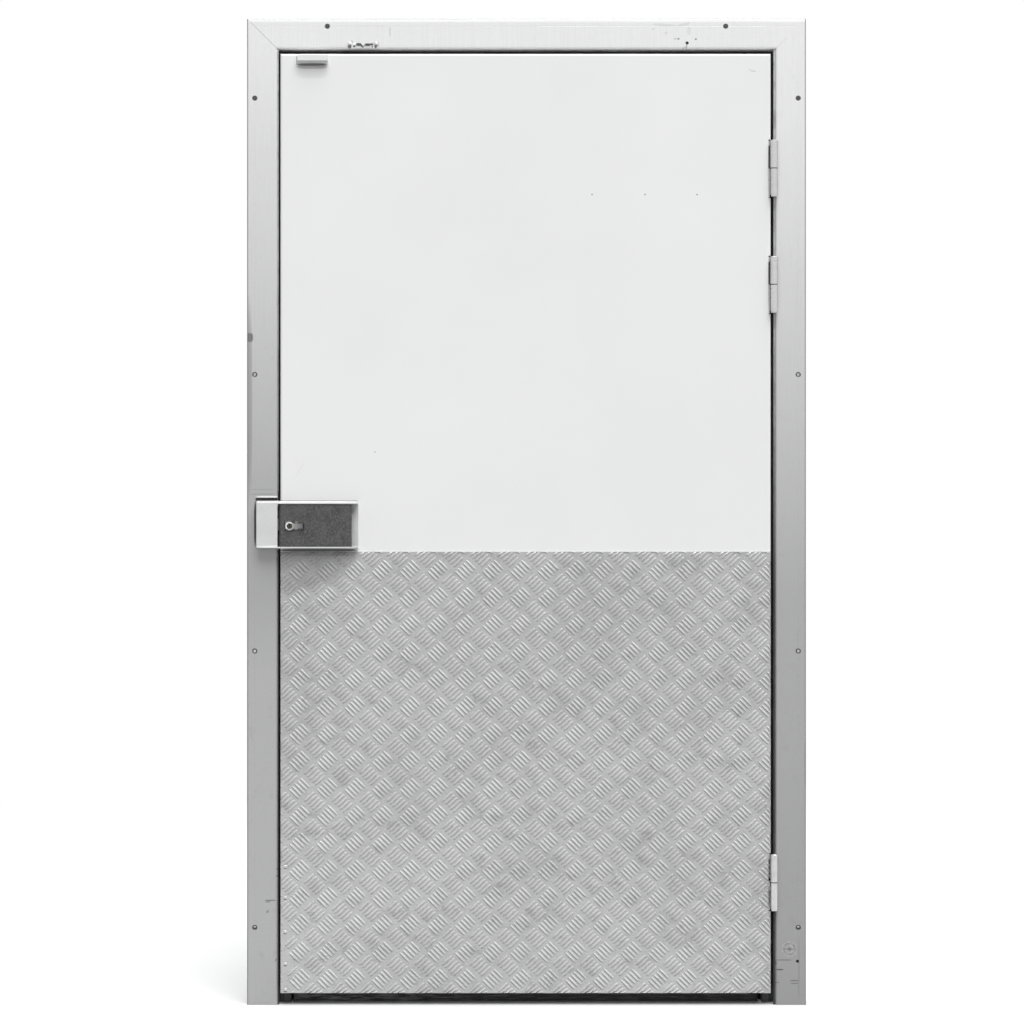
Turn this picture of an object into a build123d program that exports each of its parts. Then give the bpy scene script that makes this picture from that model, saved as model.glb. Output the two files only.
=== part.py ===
from build123d import *
import math
import os

# Cold room door leaf in its three-sided frame, in millimetres.
# X runs to the right as seen from the warm side, Y through the wall into the cold room, Z up.
# The origin is on the floor, midway between the jambs and in the middle of the wall's thickness.

os.makedirs("parts", exist_ok=True)

# Frame and wall
frame_width = 1190
frame_height = 2100
wall_thickness = 80
face_width = 65
face_standoff = 4.5
profile_wall = 2
face_radius = 5
outer_radius = 3
reveal_depth = 40
rib_inset = 27
rib_width = 4
groove_inset = 16.5
groove_width = 1.2
groove_depth = 0.25
spare_hole_radius = 3.5
spare_hole_jamb_inset = 18
spare_hole_jamb_height = 93
spare_hole_head_x = 342
spare_hole_head_drop = 52

# Insulating liner behind the reveal, with the stop that the door seals on
stop_width = 27
liner_back = 8
liner_wall = 2.5
stop_front_wall = 4
stop_edge_radius = 2
tongue_length = 10
keeper_strip_width = 12
keeper_strip_thickness = 1.5

# Trim on the cold side of the wall
trim_inset = 12
trim_edge_gap = 4
trim_thickness = 2
trim_leg = 25

# Corner cleats hidden behind the mitres
cleat_width = 24
cleat_length = 95
cleat_clearance = 0.5
cleat_rib_gap = 2

# Leaf
leaf_gap_latch = 6
leaf_gap_hinge = 10
leaf_gap_top = 10
leaf_floor_gap = 25
leaf_proud = 2
leaf_thickness = 80
plug_inset = 28
skin = 1
leaf_edge_radius = 5
leaf_hole_insets = (157, 267.7, 380.6)
leaf_hole_drop = 300
leaf_hole_radius = 1.3
back_skin_depth = 28
edge_wall = 3
shoulder_wall = 5
edge_leg_width = 8
edge_leg_gap = 5
back_edge_radius = 2
rail_height = 15

# Magnetic gasket between the leaf's shoulder and the stop
gasket_width = 13
gasket_depth = 9.7
gasket_clearance = 0.3
gasket_radius = 2
gasket_side_wall = 2
gasket_base = 1.7
gasket_magnet_head = 3.6
gasket_foot_width = 4
gasket_foot_depth = 3.4
gasket_edge_margin = 3
gasket_end_gap = 1

# Floor sweep under the leaf
sweep_head = 4
sweep_blade = 4
sweep_depth = 28
sweep_front = 3
sweep_end_reach = 3
floor_clearance = 1
sweep_bar_width = 15
sweep_bar_end_gap = 2
sweep_bar_thickness = 3

# Kick plate
kick_plate_height = 939
kick_plate_thickness = 2
kick_plate_margin = 1
kick_screw_inset = 10.5
kick_screw_heights = (32, 87, 155, 228, 294)

# Door contact: magnet box on the leaf, torn switch base on the head
magnet_length = 64
magnet_height = 13
magnet_depth = 13
magnet_edge_radius = 1
magnet_left = 37
magnet_drop = 4
remains_left = 142
remains_length = 68
remains_height = 13
remains_rise = 1.5
remains_thickness = 3
remains_break = ((54, 12), (50, 9), (41, 10.5), (33, 6), (24, 10), (15, 8.5), (12, 13), (0, 12))
remains_pocket_centres = ((24, 4.5), (42, 4.5))
remains_pocket_size = (13, 5)
remains_pocket_floor = 1
remains_boss = 0.5
remains_boss_wall = 0.4
remains_screw_inset = 6
remains_screw_rise = 8
remains_screw_length = 12

# Lift-off hinges
hinge_bottom_rise = 237
hinge_middle_drop = 492
hinge_top_drop = 245
knuckle_radius = 8
knuckle_height = 59
cap_rim = 0.4
cap_height = 11
cap_chamfer = 1.2
cap_groove_depth = 0.6
cap_groove_height = 1
foot_ring_height = 4
foot_ring_step = 1
washer_thickness = 2
washer_step = 1
hinge_pin_radius = 4
hinge_pin_length = 104
hinge_pin_chamfer = 0.8
hinge_pin_end_gap = 1
pin_clearance = 0.05
hinge_axis_overlap = 3.5
knuckle_face_gap = 1
flap_thickness = 3
flap_front_gap = 4.5
flap_margin = 2.5
flap_crank = 4
flap_crank_step = 1
hinge_pocket_depth = 5
hinge_pocket_margin = 2
hinge_pocket_clearance = 1
hinge_screw_offsets = (-44, 0, 44)

# Screws
screw_radius = 2
screw_head_radius = 4
screw_head_height = 2
fixing_screw_length = 35
trim_screw_length = 22
hinge_screw_length = 13
leaf_screw_length = 22
fixing_first_height = 165
fixing_last_drop = 169.5
fixing_rows = 4
head_fixing_offset = 424
fixing_sink = 0.8
fixing_recess_radius = 5.2

# Lock: housing with a nose over the jamb, pull paddle, key bolt and inner release
lock_reach = 27.5
lock_height = 102
lock_length = 215
nose_overhang = 49
nose_width = 45
lock_middle_height = 1023
housing_wall = 3.5
rim_top = 7.3
rim_top_radius = 6.5
rim_bottom_radius = 3
nose_end_radius = 2.5
scoop_length = 42
scoop_depth_inner = 3.5
scoop_depth_outer = 6.5
notch_margin = 3
notch_below = 1
notch_above = 5.5
notch_depth = 8.5
back_plate_thickness = 3
back_plate_inset = 5
back_plate_end_gap = 1
lock_screw_left_inset = 22
lock_screw_right_inset = 12
lock_screw_rise = 13
lock_screw_drop = 17

paddle_recess = 2
paddle_gap = 0.7
paddle_wall = 5
paddle_length = 155.5
paddle_knuckle_radius = 8
paddle_side_gap = 1.8
paddle_edge_radius = 2
paddle_pin_radius = 2.5
paddle_pin_inset = 2
paddle_waist = 39
paddle_rib = 2.5
paddle_rib_depth = 3
paddle_rib_end_gap = 7.5
heel_reach = 26
heel_set_back = 8
heel_tip_radius = 2
heel_root_half = 6
heel_waist_gap = 2.5
heel_end_gap = 5
window_gap = 1.5
window_left_gap = 3
window_right_gap = 2.5
window_radius = 3

cylinder_x_from_pivot = 16.2
cylinder_drop = 3.3
cylinder_radius = 9
cylinder_tail_width = 11
cylinder_tail_reach = 28.3
cylinder_proud = 2
plug_radius = 6
plug_recess = 0.5
key_slot_width = 1.6
key_slot_height = 8
key_slot_depth = 6
cam_thickness = 4
cam_bolt_gap = 2
cam_radius = 7
cam_tail_radius = 3
drive_radius = 10
drive_pin_radius = 1.8
drive_slot_clearance = 0.65
post_left_from_cylinder = 17.5
post_width = 10.5

bolt_height = 21
bolt_thickness = 7
bolt_tail_thickness = 3
bolt_tip_from_nose = 19
bolt_head_length = 38
bolt_tail_length = 30
bolt_chamfer = 1
bolt_gap = 0.3
guide_length = 19
guide_wall = 2.2
guide_front_wall = 2
guide_overhang = 8
keeper_plate_margin = 10
keeper_plate_above = 15
keeper_reveal_gap = 1
keeper_upstand = 3
keeper_upstand_inset = 11
keeper_upstand_reach = 19.5
keeper_height = 46
keeper_screw_inset = 14
keeper_screw_spread = 40
keeper_slot_clearance = 1

release_rise = 13.8
release_x_from_pivot = 48.2
release_rod_radius = 5
release_rod_hole_gap = 1
release_travel = 24.2
release_tip_gap = 0.5
guide_tube_radius = 12
guide_flange_radius = 24
guide_flange_thickness = 6
guide_flange_edge = 2
spring_bore_radius = 9
spring_bore_depth = 19.5
knob_radius = 24
knob_thickness = 10
knob_face_edge = 5
knob_back_edge = 2
knob_stroke_gap = 2.3
knob_grip = 6
spring_radius = 7.4
spring_wire = 0.8
spring_turns = 6

# Places that follow from the sizes above
wall_front = -wall_thickness / 2
wall_back = wall_thickness / 2
face_y = wall_front - face_standoff
stop_y = face_y + reveal_depth
half_width = frame_width / 2
opening_half = half_width - face_width
opening_top = frame_height - face_width
stop_inset = face_width + stop_width
seal_inset = stop_inset - gasket_edge_margin - gasket_width / 2
fixing_pitch = (frame_height - fixing_first_height - fixing_last_drop) / (fixing_rows - 1)

leaf_left = -opening_half + leaf_gap_latch
leaf_right = opening_half - leaf_gap_hinge
leaf_bottom = leaf_floor_gap
leaf_top = opening_top - leaf_gap_top
leaf_width = leaf_right - leaf_left
leaf_height = leaf_top - leaf_bottom
leaf_middle = (leaf_left + leaf_right) / 2
leaf_middle_height = (leaf_bottom + leaf_top) / 2
leaf_front = face_y - leaf_proud
gasket_front = stop_y - gasket_clearance
shoulder_y = gasket_front - gasket_depth
leaf_lip_depth = shoulder_y - leaf_front
leaf_back = leaf_front + leaf_thickness
back_skin_edge = leaf_back - back_skin_depth

hinge_axis_x = opening_half - hinge_axis_overlap
hinge_axis_y = face_y - knuckle_radius - knuckle_face_gap
hinge_split_heights = {
    "bottom": leaf_bottom + hinge_bottom_rise,
    "middle": leaf_top - hinge_middle_drop,
    "top": leaf_top - hinge_top_drop,
}

lock_left = leaf_left - nose_overhang
lock_right = lock_left + lock_length
lock_bottom = lock_middle_height - lock_height / 2
lock_top = lock_middle_height + lock_height / 2
lock_front = leaf_front - lock_reach
nose_right = lock_left + nose_width
back_plate_front = leaf_front - back_plate_thickness
pivot_x = nose_right + paddle_side_gap + paddle_knuckle_radius
pivot_y = lock_front + paddle_recess + paddle_knuckle_radius
paddle_front = lock_front + paddle_recess
paddle_back = paddle_front + paddle_wall
paddle_bottom = lock_bottom + housing_wall + paddle_gap
paddle_top = lock_top - rim_top - paddle_gap
paddle_right = pivot_x - paddle_knuckle_radius + paddle_length
cylinder_x = pivot_x + cylinder_x_from_pivot
cylinder_z = lock_middle_height - cylinder_drop
bolt_tip = lock_left + bolt_tip_from_nose
bolt_front = back_plate_front - guide_wall - bolt_gap - bolt_thickness
bolt_back = bolt_front + bolt_thickness
guide_front = bolt_front - bolt_gap - guide_front_wall
bolt_tail_front = bolt_back - bolt_tail_thickness
cam_back = bolt_tail_front - cam_bolt_gap
cylinder_front = lock_front - cylinder_proud
cylinder_back = cam_back - cam_thickness
cylinder_length = cylinder_back - cylinder_front
release_x = pivot_x + release_x_from_pivot
release_z = paddle_bottom + release_rise
knob_back = leaf_back + guide_flange_thickness + release_travel + knob_stroke_gap
knob_face = knob_back + knob_thickness
post_left = cylinder_x + post_left_from_cylinder


def facing(y):
    """A plane across the door at depth y that faces the viewer, with local x and y as X and Z."""
    return Plane(origin=(0, y, 0), x_dir=(1, 0, 0), z_dir=(0, -1, 0))


def level(z):
    """A horizontal plane at height z, with local x and y as X and Y."""
    return Plane.XY.offset(z)


def member_planes(left, right, foot, top):
    """The section planes of a left, a right and a top member: local x inwards, local y as Y."""
    return {
        "left": Plane(origin=(left, 0, foot), x_dir=(1, 0, 0), z_dir=(0, 0, 1)),
        "right": Plane(origin=(right, 0, foot), x_dir=(-1, 0, 0), z_dir=(0, 0, -1)),
        "head": Plane(origin=(left, 0, top), x_dir=(0, 0, -1), z_dir=(1, 0, 0)),
    }


def mitred_member(section, place, left, right, foot, top):
    """One side of a three-sided surround, cut at 45 degrees where it meets its neighbour."""
    plane = member_planes(left, right, foot, top)[place]
    left_mitre = Plane(origin=(left, 0, top), z_dir=(1, 0, 1))
    right_mitre = Plane(origin=(right, 0, top), z_dir=(-1, 0, 1))
    with BuildPart() as member:
        with BuildSketch(plane):
            add(section)
        if place == "head":
            extrude(amount=right - left)
            split(bisect_by=left_mitre, keep=Keep.TOP)
            split(bisect_by=right_mitre, keep=Keep.TOP)
        else:
            extrude(amount=top - foot if place == "left" else foot - top)
            split(bisect_by=left_mitre if place == "left" else right_mitre, keep=Keep.BOTTOM)
    return member.part


def block(x_low, x_high, y_low, y_high, z_low, z_high):
    """A rectangular solid between two corners, for pockets, clear spaces and plain bars."""
    with BuildPart() as solid:
        with BuildSketch(level(z_low)):
            with Locations(((x_low + x_high) / 2, (y_low + y_high) / 2)):
                Rectangle(x_high - x_low, y_high - y_low)
        extrude(amount=z_high - z_low)
    return solid.part


def countersunk_screws(planes, length):
    """Countersunk screws whose flat heads lie in the given planes and point against their normals."""
    with BuildPart() as screws:
        for plane in planes:
            with BuildSketch(plane):
                Circle(screw_radius)
            extrude(amount=-length)
            with BuildSketch(plane):
                Circle(screw_head_radius)
            with BuildSketch(plane.offset(-screw_head_height)):
                Circle(screw_radius)
            loft()
    return screws.part


def facing_spot(x, z, y):
    """A plane at one point that faces the viewer."""
    return Plane(origin=(x, y, z), x_dir=(1, 0, 0), z_dir=(0, -1, 0))


def rear_spot(x, z, y):
    """A plane at one point that faces into the cold room."""
    return Plane(origin=(x, y, z), x_dir=(-1, 0, 0), z_dir=(0, 1, 0))


def side_spot(x, y, z, towards):
    """A plane at one point whose normal points along X, to the side given as +1 or -1."""
    return Plane(origin=(x, y, z), x_dir=(0, 0, 1), z_dir=(towards, 0, 0))


# Fixings. They come first, because every plate they hold takes its holes from them.
fixing_heights = [fixing_first_height + row * fixing_pitch for row in range(fixing_rows)]
fixing_places = [(side * (half_width - groove_inset), z) for side in (-1, 1) for z in fixing_heights]
fixing_places += [(side * head_fixing_offset, frame_height - groove_inset) for side in (-1, 1)]
fixing_planes = [facing_spot(x, z, face_y + fixing_sink) for x, z in fixing_places]
trim_screw_inset = (trim_inset + face_width - liner_back) / 2
trim_places = [(side * (half_width - trim_screw_inset), z) for side in (-1, 1) for z in fixing_heights]
trim_places += [(side * head_fixing_offset, frame_height - trim_screw_inset) for side in (-1, 1)]
trim_planes = [rear_spot(x, z, wall_back + trim_thickness) for x, z in trim_places]

with BuildPart() as frame_fixing_screws:
    add(countersunk_screws(fixing_planes, fixing_screw_length))
frame_fixing_screws.part.label = "frame_fixing_screws"
export_step(frame_fixing_screws.part, "parts/frame_fixing_screws.step")

with BuildPart() as rear_trim_screws:
    add(countersunk_screws(trim_planes, trim_screw_length))
rear_trim_screws.part.label = "rear_trim_screws"
export_step(rear_trim_screws.part, "parts/rear_trim_screws.step")

remains_x = leaf_left + remains_left
remains_z = opening_top + remains_rise
remains_face = face_y - remains_thickness
remains_boss_face = remains_face - remains_boss
remains_screw_planes = [
    facing_spot(remains_x + inset, remains_z + remains_screw_rise, remains_boss_face)
    for inset in (remains_screw_inset, remains_length - remains_screw_inset)
]
with BuildPart() as switch_base_screws:
    add(countersunk_screws(remains_screw_planes, remains_screw_length))
switch_base_screws.part.label = "switch_base_screws"
export_step(switch_base_screws.part, "parts/switch_base_screws.step")

# Hinge and lock hardware screws on the frame, and on the leaf
flap_back = shoulder_y - flap_margin
flap_front = leaf_front + flap_front_gap
flap_middle_y = (flap_front + flap_back) / 2
frame_flap_face = opening_half - flap_thickness
leaf_flap_back = leaf_right - hinge_pocket_depth
leaf_flap_face = leaf_flap_back + flap_thickness
keeper_left = lock_left - keeper_plate_margin
keeper_right = -opening_half - profile_wall - keeper_reveal_gap
keeper_face = face_y + profile_wall
keeper_screw_x = keeper_right - keeper_screw_inset

frame_hardware_planes = [
    side_spot(frame_flap_face, flap_middle_y, split + offset_z, -1)
    for split in hinge_split_heights.values()
    for offset_z in hinge_screw_offsets
]
keeper_planes = [
    facing_spot(keeper_screw_x, lock_middle_height + side * keeper_screw_spread, keeper_face)
    for side in (-1, 1)
]
with BuildPart() as frame_hardware_screws:
    add(countersunk_screws(frame_hardware_planes, hinge_screw_length))
    add(countersunk_screws(keeper_planes, leaf_screw_length))
frame_hardware_screws.part.label = "frame_hardware_screws"
export_step(frame_hardware_screws.part, "parts/frame_hardware_screws.step")

leaf_hinge_planes = [
    side_spot(leaf_flap_face, flap_middle_y, split + offset_z, 1)
    for split in hinge_split_heights.values()
    for offset_z in hinge_screw_offsets
]
back_plate_left = leaf_left + back_plate_inset
back_plate_right = lock_right - scoop_length - back_plate_end_gap
lock_screw_planes = [
    facing_spot(x, z, back_plate_front)
    for x in (back_plate_left + lock_screw_left_inset, back_plate_right - lock_screw_right_inset)
    for z in (lock_bottom + lock_screw_rise, lock_top - lock_screw_drop)
]
with BuildPart() as leaf_hardware_screws:
    add(countersunk_screws(leaf_hinge_planes, leaf_screw_length))
    add(countersunk_screws(lock_screw_planes, leaf_screw_length))
leaf_hardware_screws.part.label = "leaf_hardware_screws"
export_step(leaf_hardware_screws.part, "parts/leaf_hardware_screws.step")

# Frame face profile: one extruded section with a bearing rib, a drilling groove and a deep
# return into the doorway. The jambs and the head are cut from it and mitred.
with BuildSketch() as face_section:
    with BuildLine():
        FilletPolyline(
            (0, wall_front),
            (0, face_y),
            (face_width, face_y),
            (face_width, stop_y),
            radius=[outer_radius, face_radius],
        )
        offset(amount=profile_wall, side=Side.LEFT)
    make_face()
    with Locations((rib_inset + rib_width / 2, (face_y + profile_wall / 2 + wall_front) / 2)):
        Rectangle(rib_width, wall_front - face_y - profile_wall / 2)
    with BuildLine():
        Polyline(
            (groove_inset - groove_width / 2, face_y),
            (groove_inset, face_y + groove_depth),
            (groove_inset + groove_width / 2, face_y),
            close=True,
        )
    make_face(mode=Mode.SUBTRACT)

# Keeper plate: lies on the wall behind the notch, with a slotted upstand for the bolt
keeper_bottom = lock_bottom - notch_below - keeper_plate_above
keeper_top = lock_top + notch_above + keeper_plate_above
upstand_left = lock_left + keeper_upstand_inset
upstand_front = keeper_face - keeper_upstand_reach
upstand_bottom = lock_middle_height - keeper_height / 2
with BuildPart() as keeper_plate:
    add(
        block(
            keeper_left,
            keeper_right,
            keeper_face,
            wall_front,
            keeper_bottom,
            keeper_top,
        )
    )
    add(
        block(
            upstand_left,
            upstand_left + keeper_upstand,
            upstand_front,
            keeper_face,
            upstand_bottom,
            upstand_bottom + keeper_height,
        )
    )
    add(
        block(
            upstand_left,
            upstand_left + keeper_upstand,
            bolt_front - keeper_slot_clearance,
            bolt_back + keeper_slot_clearance,
            lock_middle_height - bolt_height / 2 - keeper_slot_clearance,
            lock_middle_height + bolt_height / 2 + keeper_slot_clearance,
        ),
        mode=Mode.SUBTRACT,
    )
    add(frame_hardware_screws.part, mode=Mode.SUBTRACT)
keeper_plate.part.label = "keeper_plate"
export_step(keeper_plate.part, "parts/keeper_plate.step")

frame_box = (-half_width, half_width, 0, frame_height)
notch_bottom = lock_bottom - notch_below
notch_top = lock_top + notch_above
lock_notch = block(
    lock_left - notch_margin, -opening_half, face_y, face_y + notch_depth, notch_bottom, notch_top
)
fixing_recesses = [facing_spot(x, z, face_y) for x, z in fixing_places]
spare_holes = [
    facing_spot(half_width - spare_hole_jamb_inset, spare_hole_jamb_height, face_y),
    facing_spot(spare_hole_head_x, frame_height - spare_hole_head_drop, face_y),
]


def face_profile(place):
    """One member of the frame's face, with its screw recesses, flap screws and open holes."""
    with BuildPart() as member:
        add(mitred_member(face_section.sketch, place, *frame_box))
        for plane in fixing_recesses:
            with BuildSketch(plane):
                Circle(fixing_recess_radius)
            with BuildSketch(plane.offset(-fixing_sink)):
                Circle(screw_head_radius)
            loft(mode=Mode.SUBTRACT)
        add(frame_fixing_screws.part, mode=Mode.SUBTRACT)
        add(frame_hardware_screws.part, mode=Mode.SUBTRACT)
        add(switch_base_screws.part, mode=Mode.SUBTRACT)
        for plane in spare_holes:
            with BuildSketch(plane):
                Circle(spare_hole_radius)
            extrude(amount=-profile_wall, mode=Mode.SUBTRACT)
        add(lock_notch, mode=Mode.SUBTRACT)
        add(keeper_plate.part, mode=Mode.SUBTRACT)
    return member.part


for place in ("left", "right", "head"):
    with BuildPart() as face_member:
        add(face_profile(place))
    face_member.part.label = f"frame_profile_{place}"
    export_step(face_member.part, f"parts/frame_profile_{place}.step")

# Liner: hollow plastic section that breaks the cold bridge and carries the stop
with BuildSketch() as liner_section:
    liner_inset = face_width - liner_back
    liner_width = stop_inset - liner_inset
    liner_depth = wall_back - stop_y
    with Locations((liner_inset + liner_width / 2, stop_y + liner_depth / 2)):
        Rectangle(liner_width, liner_depth)
    fillet(liner_section.vertices().group_by(Axis.X)[-1], stop_edge_radius)
    with Locations((face_width - profile_wall - liner_wall / 2, stop_y - tongue_length / 2)):
        Rectangle(liner_wall, tongue_length)
    chamber_width = liner_width - 2 * liner_wall
    chamber_depth = (liner_depth - stop_front_wall - 2 * liner_wall) / 2
    for chamber_start in (stop_y + stop_front_wall, stop_y + stop_front_wall + chamber_depth + liner_wall):
        with Locations((liner_inset + liner_width / 2, chamber_start + chamber_depth / 2)):
            Rectangle(chamber_width, chamber_depth, mode=Mode.SUBTRACT)
    with Locations((seal_inset, stop_y + keeper_strip_thickness / 2)):
        Rectangle(keeper_strip_width, keeper_strip_thickness, mode=Mode.SUBTRACT)

with BuildSketch() as keeper_strip_section:
    with Locations((seal_inset, stop_y + keeper_strip_thickness / 2)):
        Rectangle(keeper_strip_width, keeper_strip_thickness)

# Trim on the cold side: an angle whose leg lines the cut edge of the wall
with BuildSketch() as trim_section:
    with BuildLine():
        Polyline(
            (trim_inset, wall_back + trim_thickness),
            (stop_inset - trim_edge_gap, wall_back + trim_thickness),
            (stop_inset - trim_edge_gap, wall_back),
            (liner_inset, wall_back),
            (liner_inset, wall_back - trim_leg),
            (liner_inset - trim_thickness, wall_back - trim_leg),
            (liner_inset - trim_thickness, wall_back),
            (trim_inset, wall_back),
            close=True,
        )
    make_face()

for place in ("left", "right", "head"):
    with BuildPart() as liner_member:
        add(mitred_member(liner_section.sketch, place, *frame_box))
    liner_member.part.label = f"frame_liner_{place}"
    export_step(liner_member.part, f"parts/frame_liner_{place}.step")

    with BuildPart() as keeper_strip:
        add(mitred_member(keeper_strip_section.sketch, place, *frame_box))
    keeper_strip.part.label = f"keeper_strip_{place}"
    export_step(keeper_strip.part, f"parts/keeper_strip_{place}.step")

    with BuildPart() as rear_trim:
        add(mitred_member(trim_section.sketch, place, *frame_box))
        add(rear_trim_screws.part, mode=Mode.SUBTRACT)
    rear_trim.part.label = f"rear_trim_{place}"
    export_step(rear_trim.part, f"parts/rear_trim_{place}.step")

# Corner cleats: flat angles in the space between the face profile and the wall
cleat_inset = rib_inset + rib_width + cleat_rib_gap
cleat_thickness = face_standoff - profile_wall - cleat_clearance
for place, side in (("left", -1), ("right", 1)):
    with BuildPart() as corner_cleat:
        with BuildSketch(facing(face_y + profile_wall)):
            with BuildLine():
                outer_x = side * (half_width - cleat_inset)
                inner_x = outer_x - side * cleat_width
                end_x = outer_x - side * cleat_length
                outer_z = frame_height - cleat_inset
                Polyline(
                    (outer_x, outer_z),
                    (end_x, outer_z),
                    (end_x, outer_z - cleat_width),
                    (inner_x, outer_z - cleat_width),
                    (inner_x, outer_z - cleat_length),
                    (outer_x, outer_z - cleat_length),
                    close=True,
                )
            make_face()
        extrude(amount=-cleat_thickness)
    corner_cleat.part.label = f"corner_cleat_{place}"
    export_step(corner_cleat.part, f"parts/corner_cleat_{place}.step")

# Torn base of the door switch that was fixed to the head, with its two screws
with BuildPart() as switch_base_remains:
    with BuildSketch(facing(face_y)):
        with BuildLine():
            Polyline(
                (remains_x, remains_z),
                (remains_x + remains_length, remains_z),
                (remains_x + remains_length, remains_z + remains_height),
                *[(remains_x + x, remains_z + z) for x, z in remains_break],
                close=True,
            )
        make_face()
    extrude(amount=remains_thickness)
    with BuildSketch(facing(remains_face)):
        with Locations([(remains_x + x, remains_z + z) for x, z in remains_pocket_centres]):
            Rectangle(*remains_pocket_size)
    extrude(amount=remains_pocket_floor - remains_thickness, mode=Mode.SUBTRACT)
    with BuildSketch(facing(remains_face)):
        with Locations([(plane.origin.X, plane.origin.Z) for plane in remains_screw_planes]):
            Circle(screw_head_radius + remains_boss_wall)
    extrude(amount=remains_boss)
    add(switch_base_screws.part, mode=Mode.SUBTRACT)
switch_base_remains.part.label = "switch_base_remains"
export_step(switch_base_remains.part, "parts/switch_base_remains.step")

# Hinges. The lower knuckle with the pin belongs to the frame and the upper one lifts off with
# the leaf. Both flaps lie in the gap beside the leaf, the leaf's in a pocket cut in its edge.
pocket_back = flap_back + hinge_pocket_clearance
hinge_half = knuckle_height + washer_thickness / 2
hinge_centre = (hinge_axis_x, hinge_axis_y)
knuckle_left = hinge_axis_x - knuckle_radius
knuckle_wall_back = knuckle_left + flap_thickness

hinge_frame_leaves = {}
hinge_door_leaves = {}
hinge_pins = {}
for place, split_height in hinge_split_heights.items():
    bottom_z = split_height - hinge_half
    top_z = split_height + hinge_half
    lower_top = split_height - washer_thickness / 2
    upper_bottom = split_height + washer_thickness / 2 + pin_clearance

    with BuildPart() as hinge_pin:
        with BuildSketch(level(split_height - hinge_pin_length / 2)):
            with Locations(hinge_centre):
                Circle(hinge_pin_radius)
        extrude(amount=hinge_pin_length)
        chamfer(hinge_pin.faces().sort_by(Axis.Z)[-1].edges(), hinge_pin_chamfer)
    hinge_pin.part.label = f"hinge_pin_{place}"
    export_step(hinge_pin.part, f"parts/hinge_pin_{place}.step")
    hinge_pins[place] = hinge_pin.part

    with BuildPart() as hinge_washer:
        with BuildSketch(level(lower_top)):
            with Locations(hinge_centre):
                Circle(knuckle_radius - washer_step)
                Circle(hinge_pin_radius + pin_clearance, mode=Mode.SUBTRACT)
        extrude(amount=washer_thickness)
    hinge_washer.part.label = f"hinge_washer_{place}"
    export_step(hinge_washer.part, f"parts/hinge_washer_{place}.step")

    with BuildPart() as hinge_frame_leaf:
        with BuildSketch(level(bottom_z)):
            with Locations(hinge_centre):
                Circle(knuckle_radius - foot_ring_step)
        extrude(amount=foot_ring_height)
        with BuildSketch(level(bottom_z + foot_ring_height)):
            with Locations(hinge_centre):
                Circle(knuckle_radius)
        extrude(amount=lower_top - bottom_z - foot_ring_height)
        with BuildSketch(level(bottom_z + foot_ring_height)):
            with Locations((opening_half - flap_thickness / 2, (flap_back + hinge_axis_y) / 2)):
                Rectangle(flap_thickness, flap_back - hinge_axis_y)
        extrude(amount=lower_top - bottom_z - foot_ring_height)
        with BuildSketch(level(bottom_z)):
            with Locations((opening_half - flap_thickness / 2, (flap_back + face_y) / 2)):
                Rectangle(flap_thickness, flap_back - face_y)
        extrude(amount=top_z - bottom_z)
        add(hinge_pins[place], mode=Mode.SUBTRACT)
        add(frame_hardware_screws.part, mode=Mode.SUBTRACT)
    hinge_frame_leaf.part.label = f"hinge_frame_leaf_{place}"
    export_step(hinge_frame_leaf.part, f"parts/hinge_frame_leaf_{place}.step")
    hinge_frame_leaves[place] = hinge_frame_leaf.part

    with BuildPart() as hinge_door_leaf:
        with BuildSketch(level(upper_bottom)):
            with Locations(hinge_centre):
                Circle(knuckle_radius)
            with BuildLine():
                Polyline(
                    (leaf_flap_back, flap_back),
                    (leaf_flap_face, flap_back),
                    (leaf_flap_face, flap_front - flap_crank_step),
                    (knuckle_wall_back, flap_front - flap_crank - flap_crank_step),
                    (knuckle_wall_back, hinge_axis_y),
                    (knuckle_left, hinge_axis_y),
                    (knuckle_left, flap_front - flap_crank),
                    (leaf_flap_back, flap_front),
                    close=True,
                )
            make_face()
        extrude(amount=top_z - cap_height - upper_bottom)
        with BuildSketch(level(top_z - cap_height)):
            with Locations(hinge_centre):
                Circle(knuckle_radius - cap_groove_depth)
        extrude(amount=cap_groove_height)
        with BuildSketch(level(top_z - cap_height + cap_groove_height)):
            with Locations(hinge_centre):
                Circle(knuckle_radius + cap_rim)
        extrude(amount=cap_height - cap_groove_height)
        chamfer(hinge_door_leaf.faces().sort_by(Axis.Z)[-1].edges(), cap_chamfer)
        with BuildSketch(level(bottom_z)):
            with Locations((leaf_flap_back + flap_thickness / 2, flap_middle_y)):
                Rectangle(flap_thickness, flap_back - flap_front)
        extrude(amount=top_z - bottom_z)
        with BuildSketch(level(split_height)):
            with Locations(hinge_centre):
                Circle(hinge_pin_radius + pin_clearance)
        extrude(amount=hinge_pin_length / 2 + hinge_pin_end_gap, mode=Mode.SUBTRACT)
        add(leaf_hardware_screws.part, mode=Mode.SUBTRACT)
    hinge_door_leaf.part.label = f"hinge_door_leaf_{place}"
    export_step(hinge_door_leaf.part, f"parts/hinge_door_leaf_{place}.step")
    hinge_door_leaves[place] = hinge_door_leaf.part

hinge_pockets = [
    block(
        leaf_flap_back,
        leaf_right + hinge_pocket_margin,
        leaf_front - 2 * kick_plate_thickness,
        pocket_back,
        split_height - hinge_half - hinge_pocket_margin,
        split_height + hinge_half + hinge_pocket_margin,
    )
    for split_height in hinge_split_heights.values()
]

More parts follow.
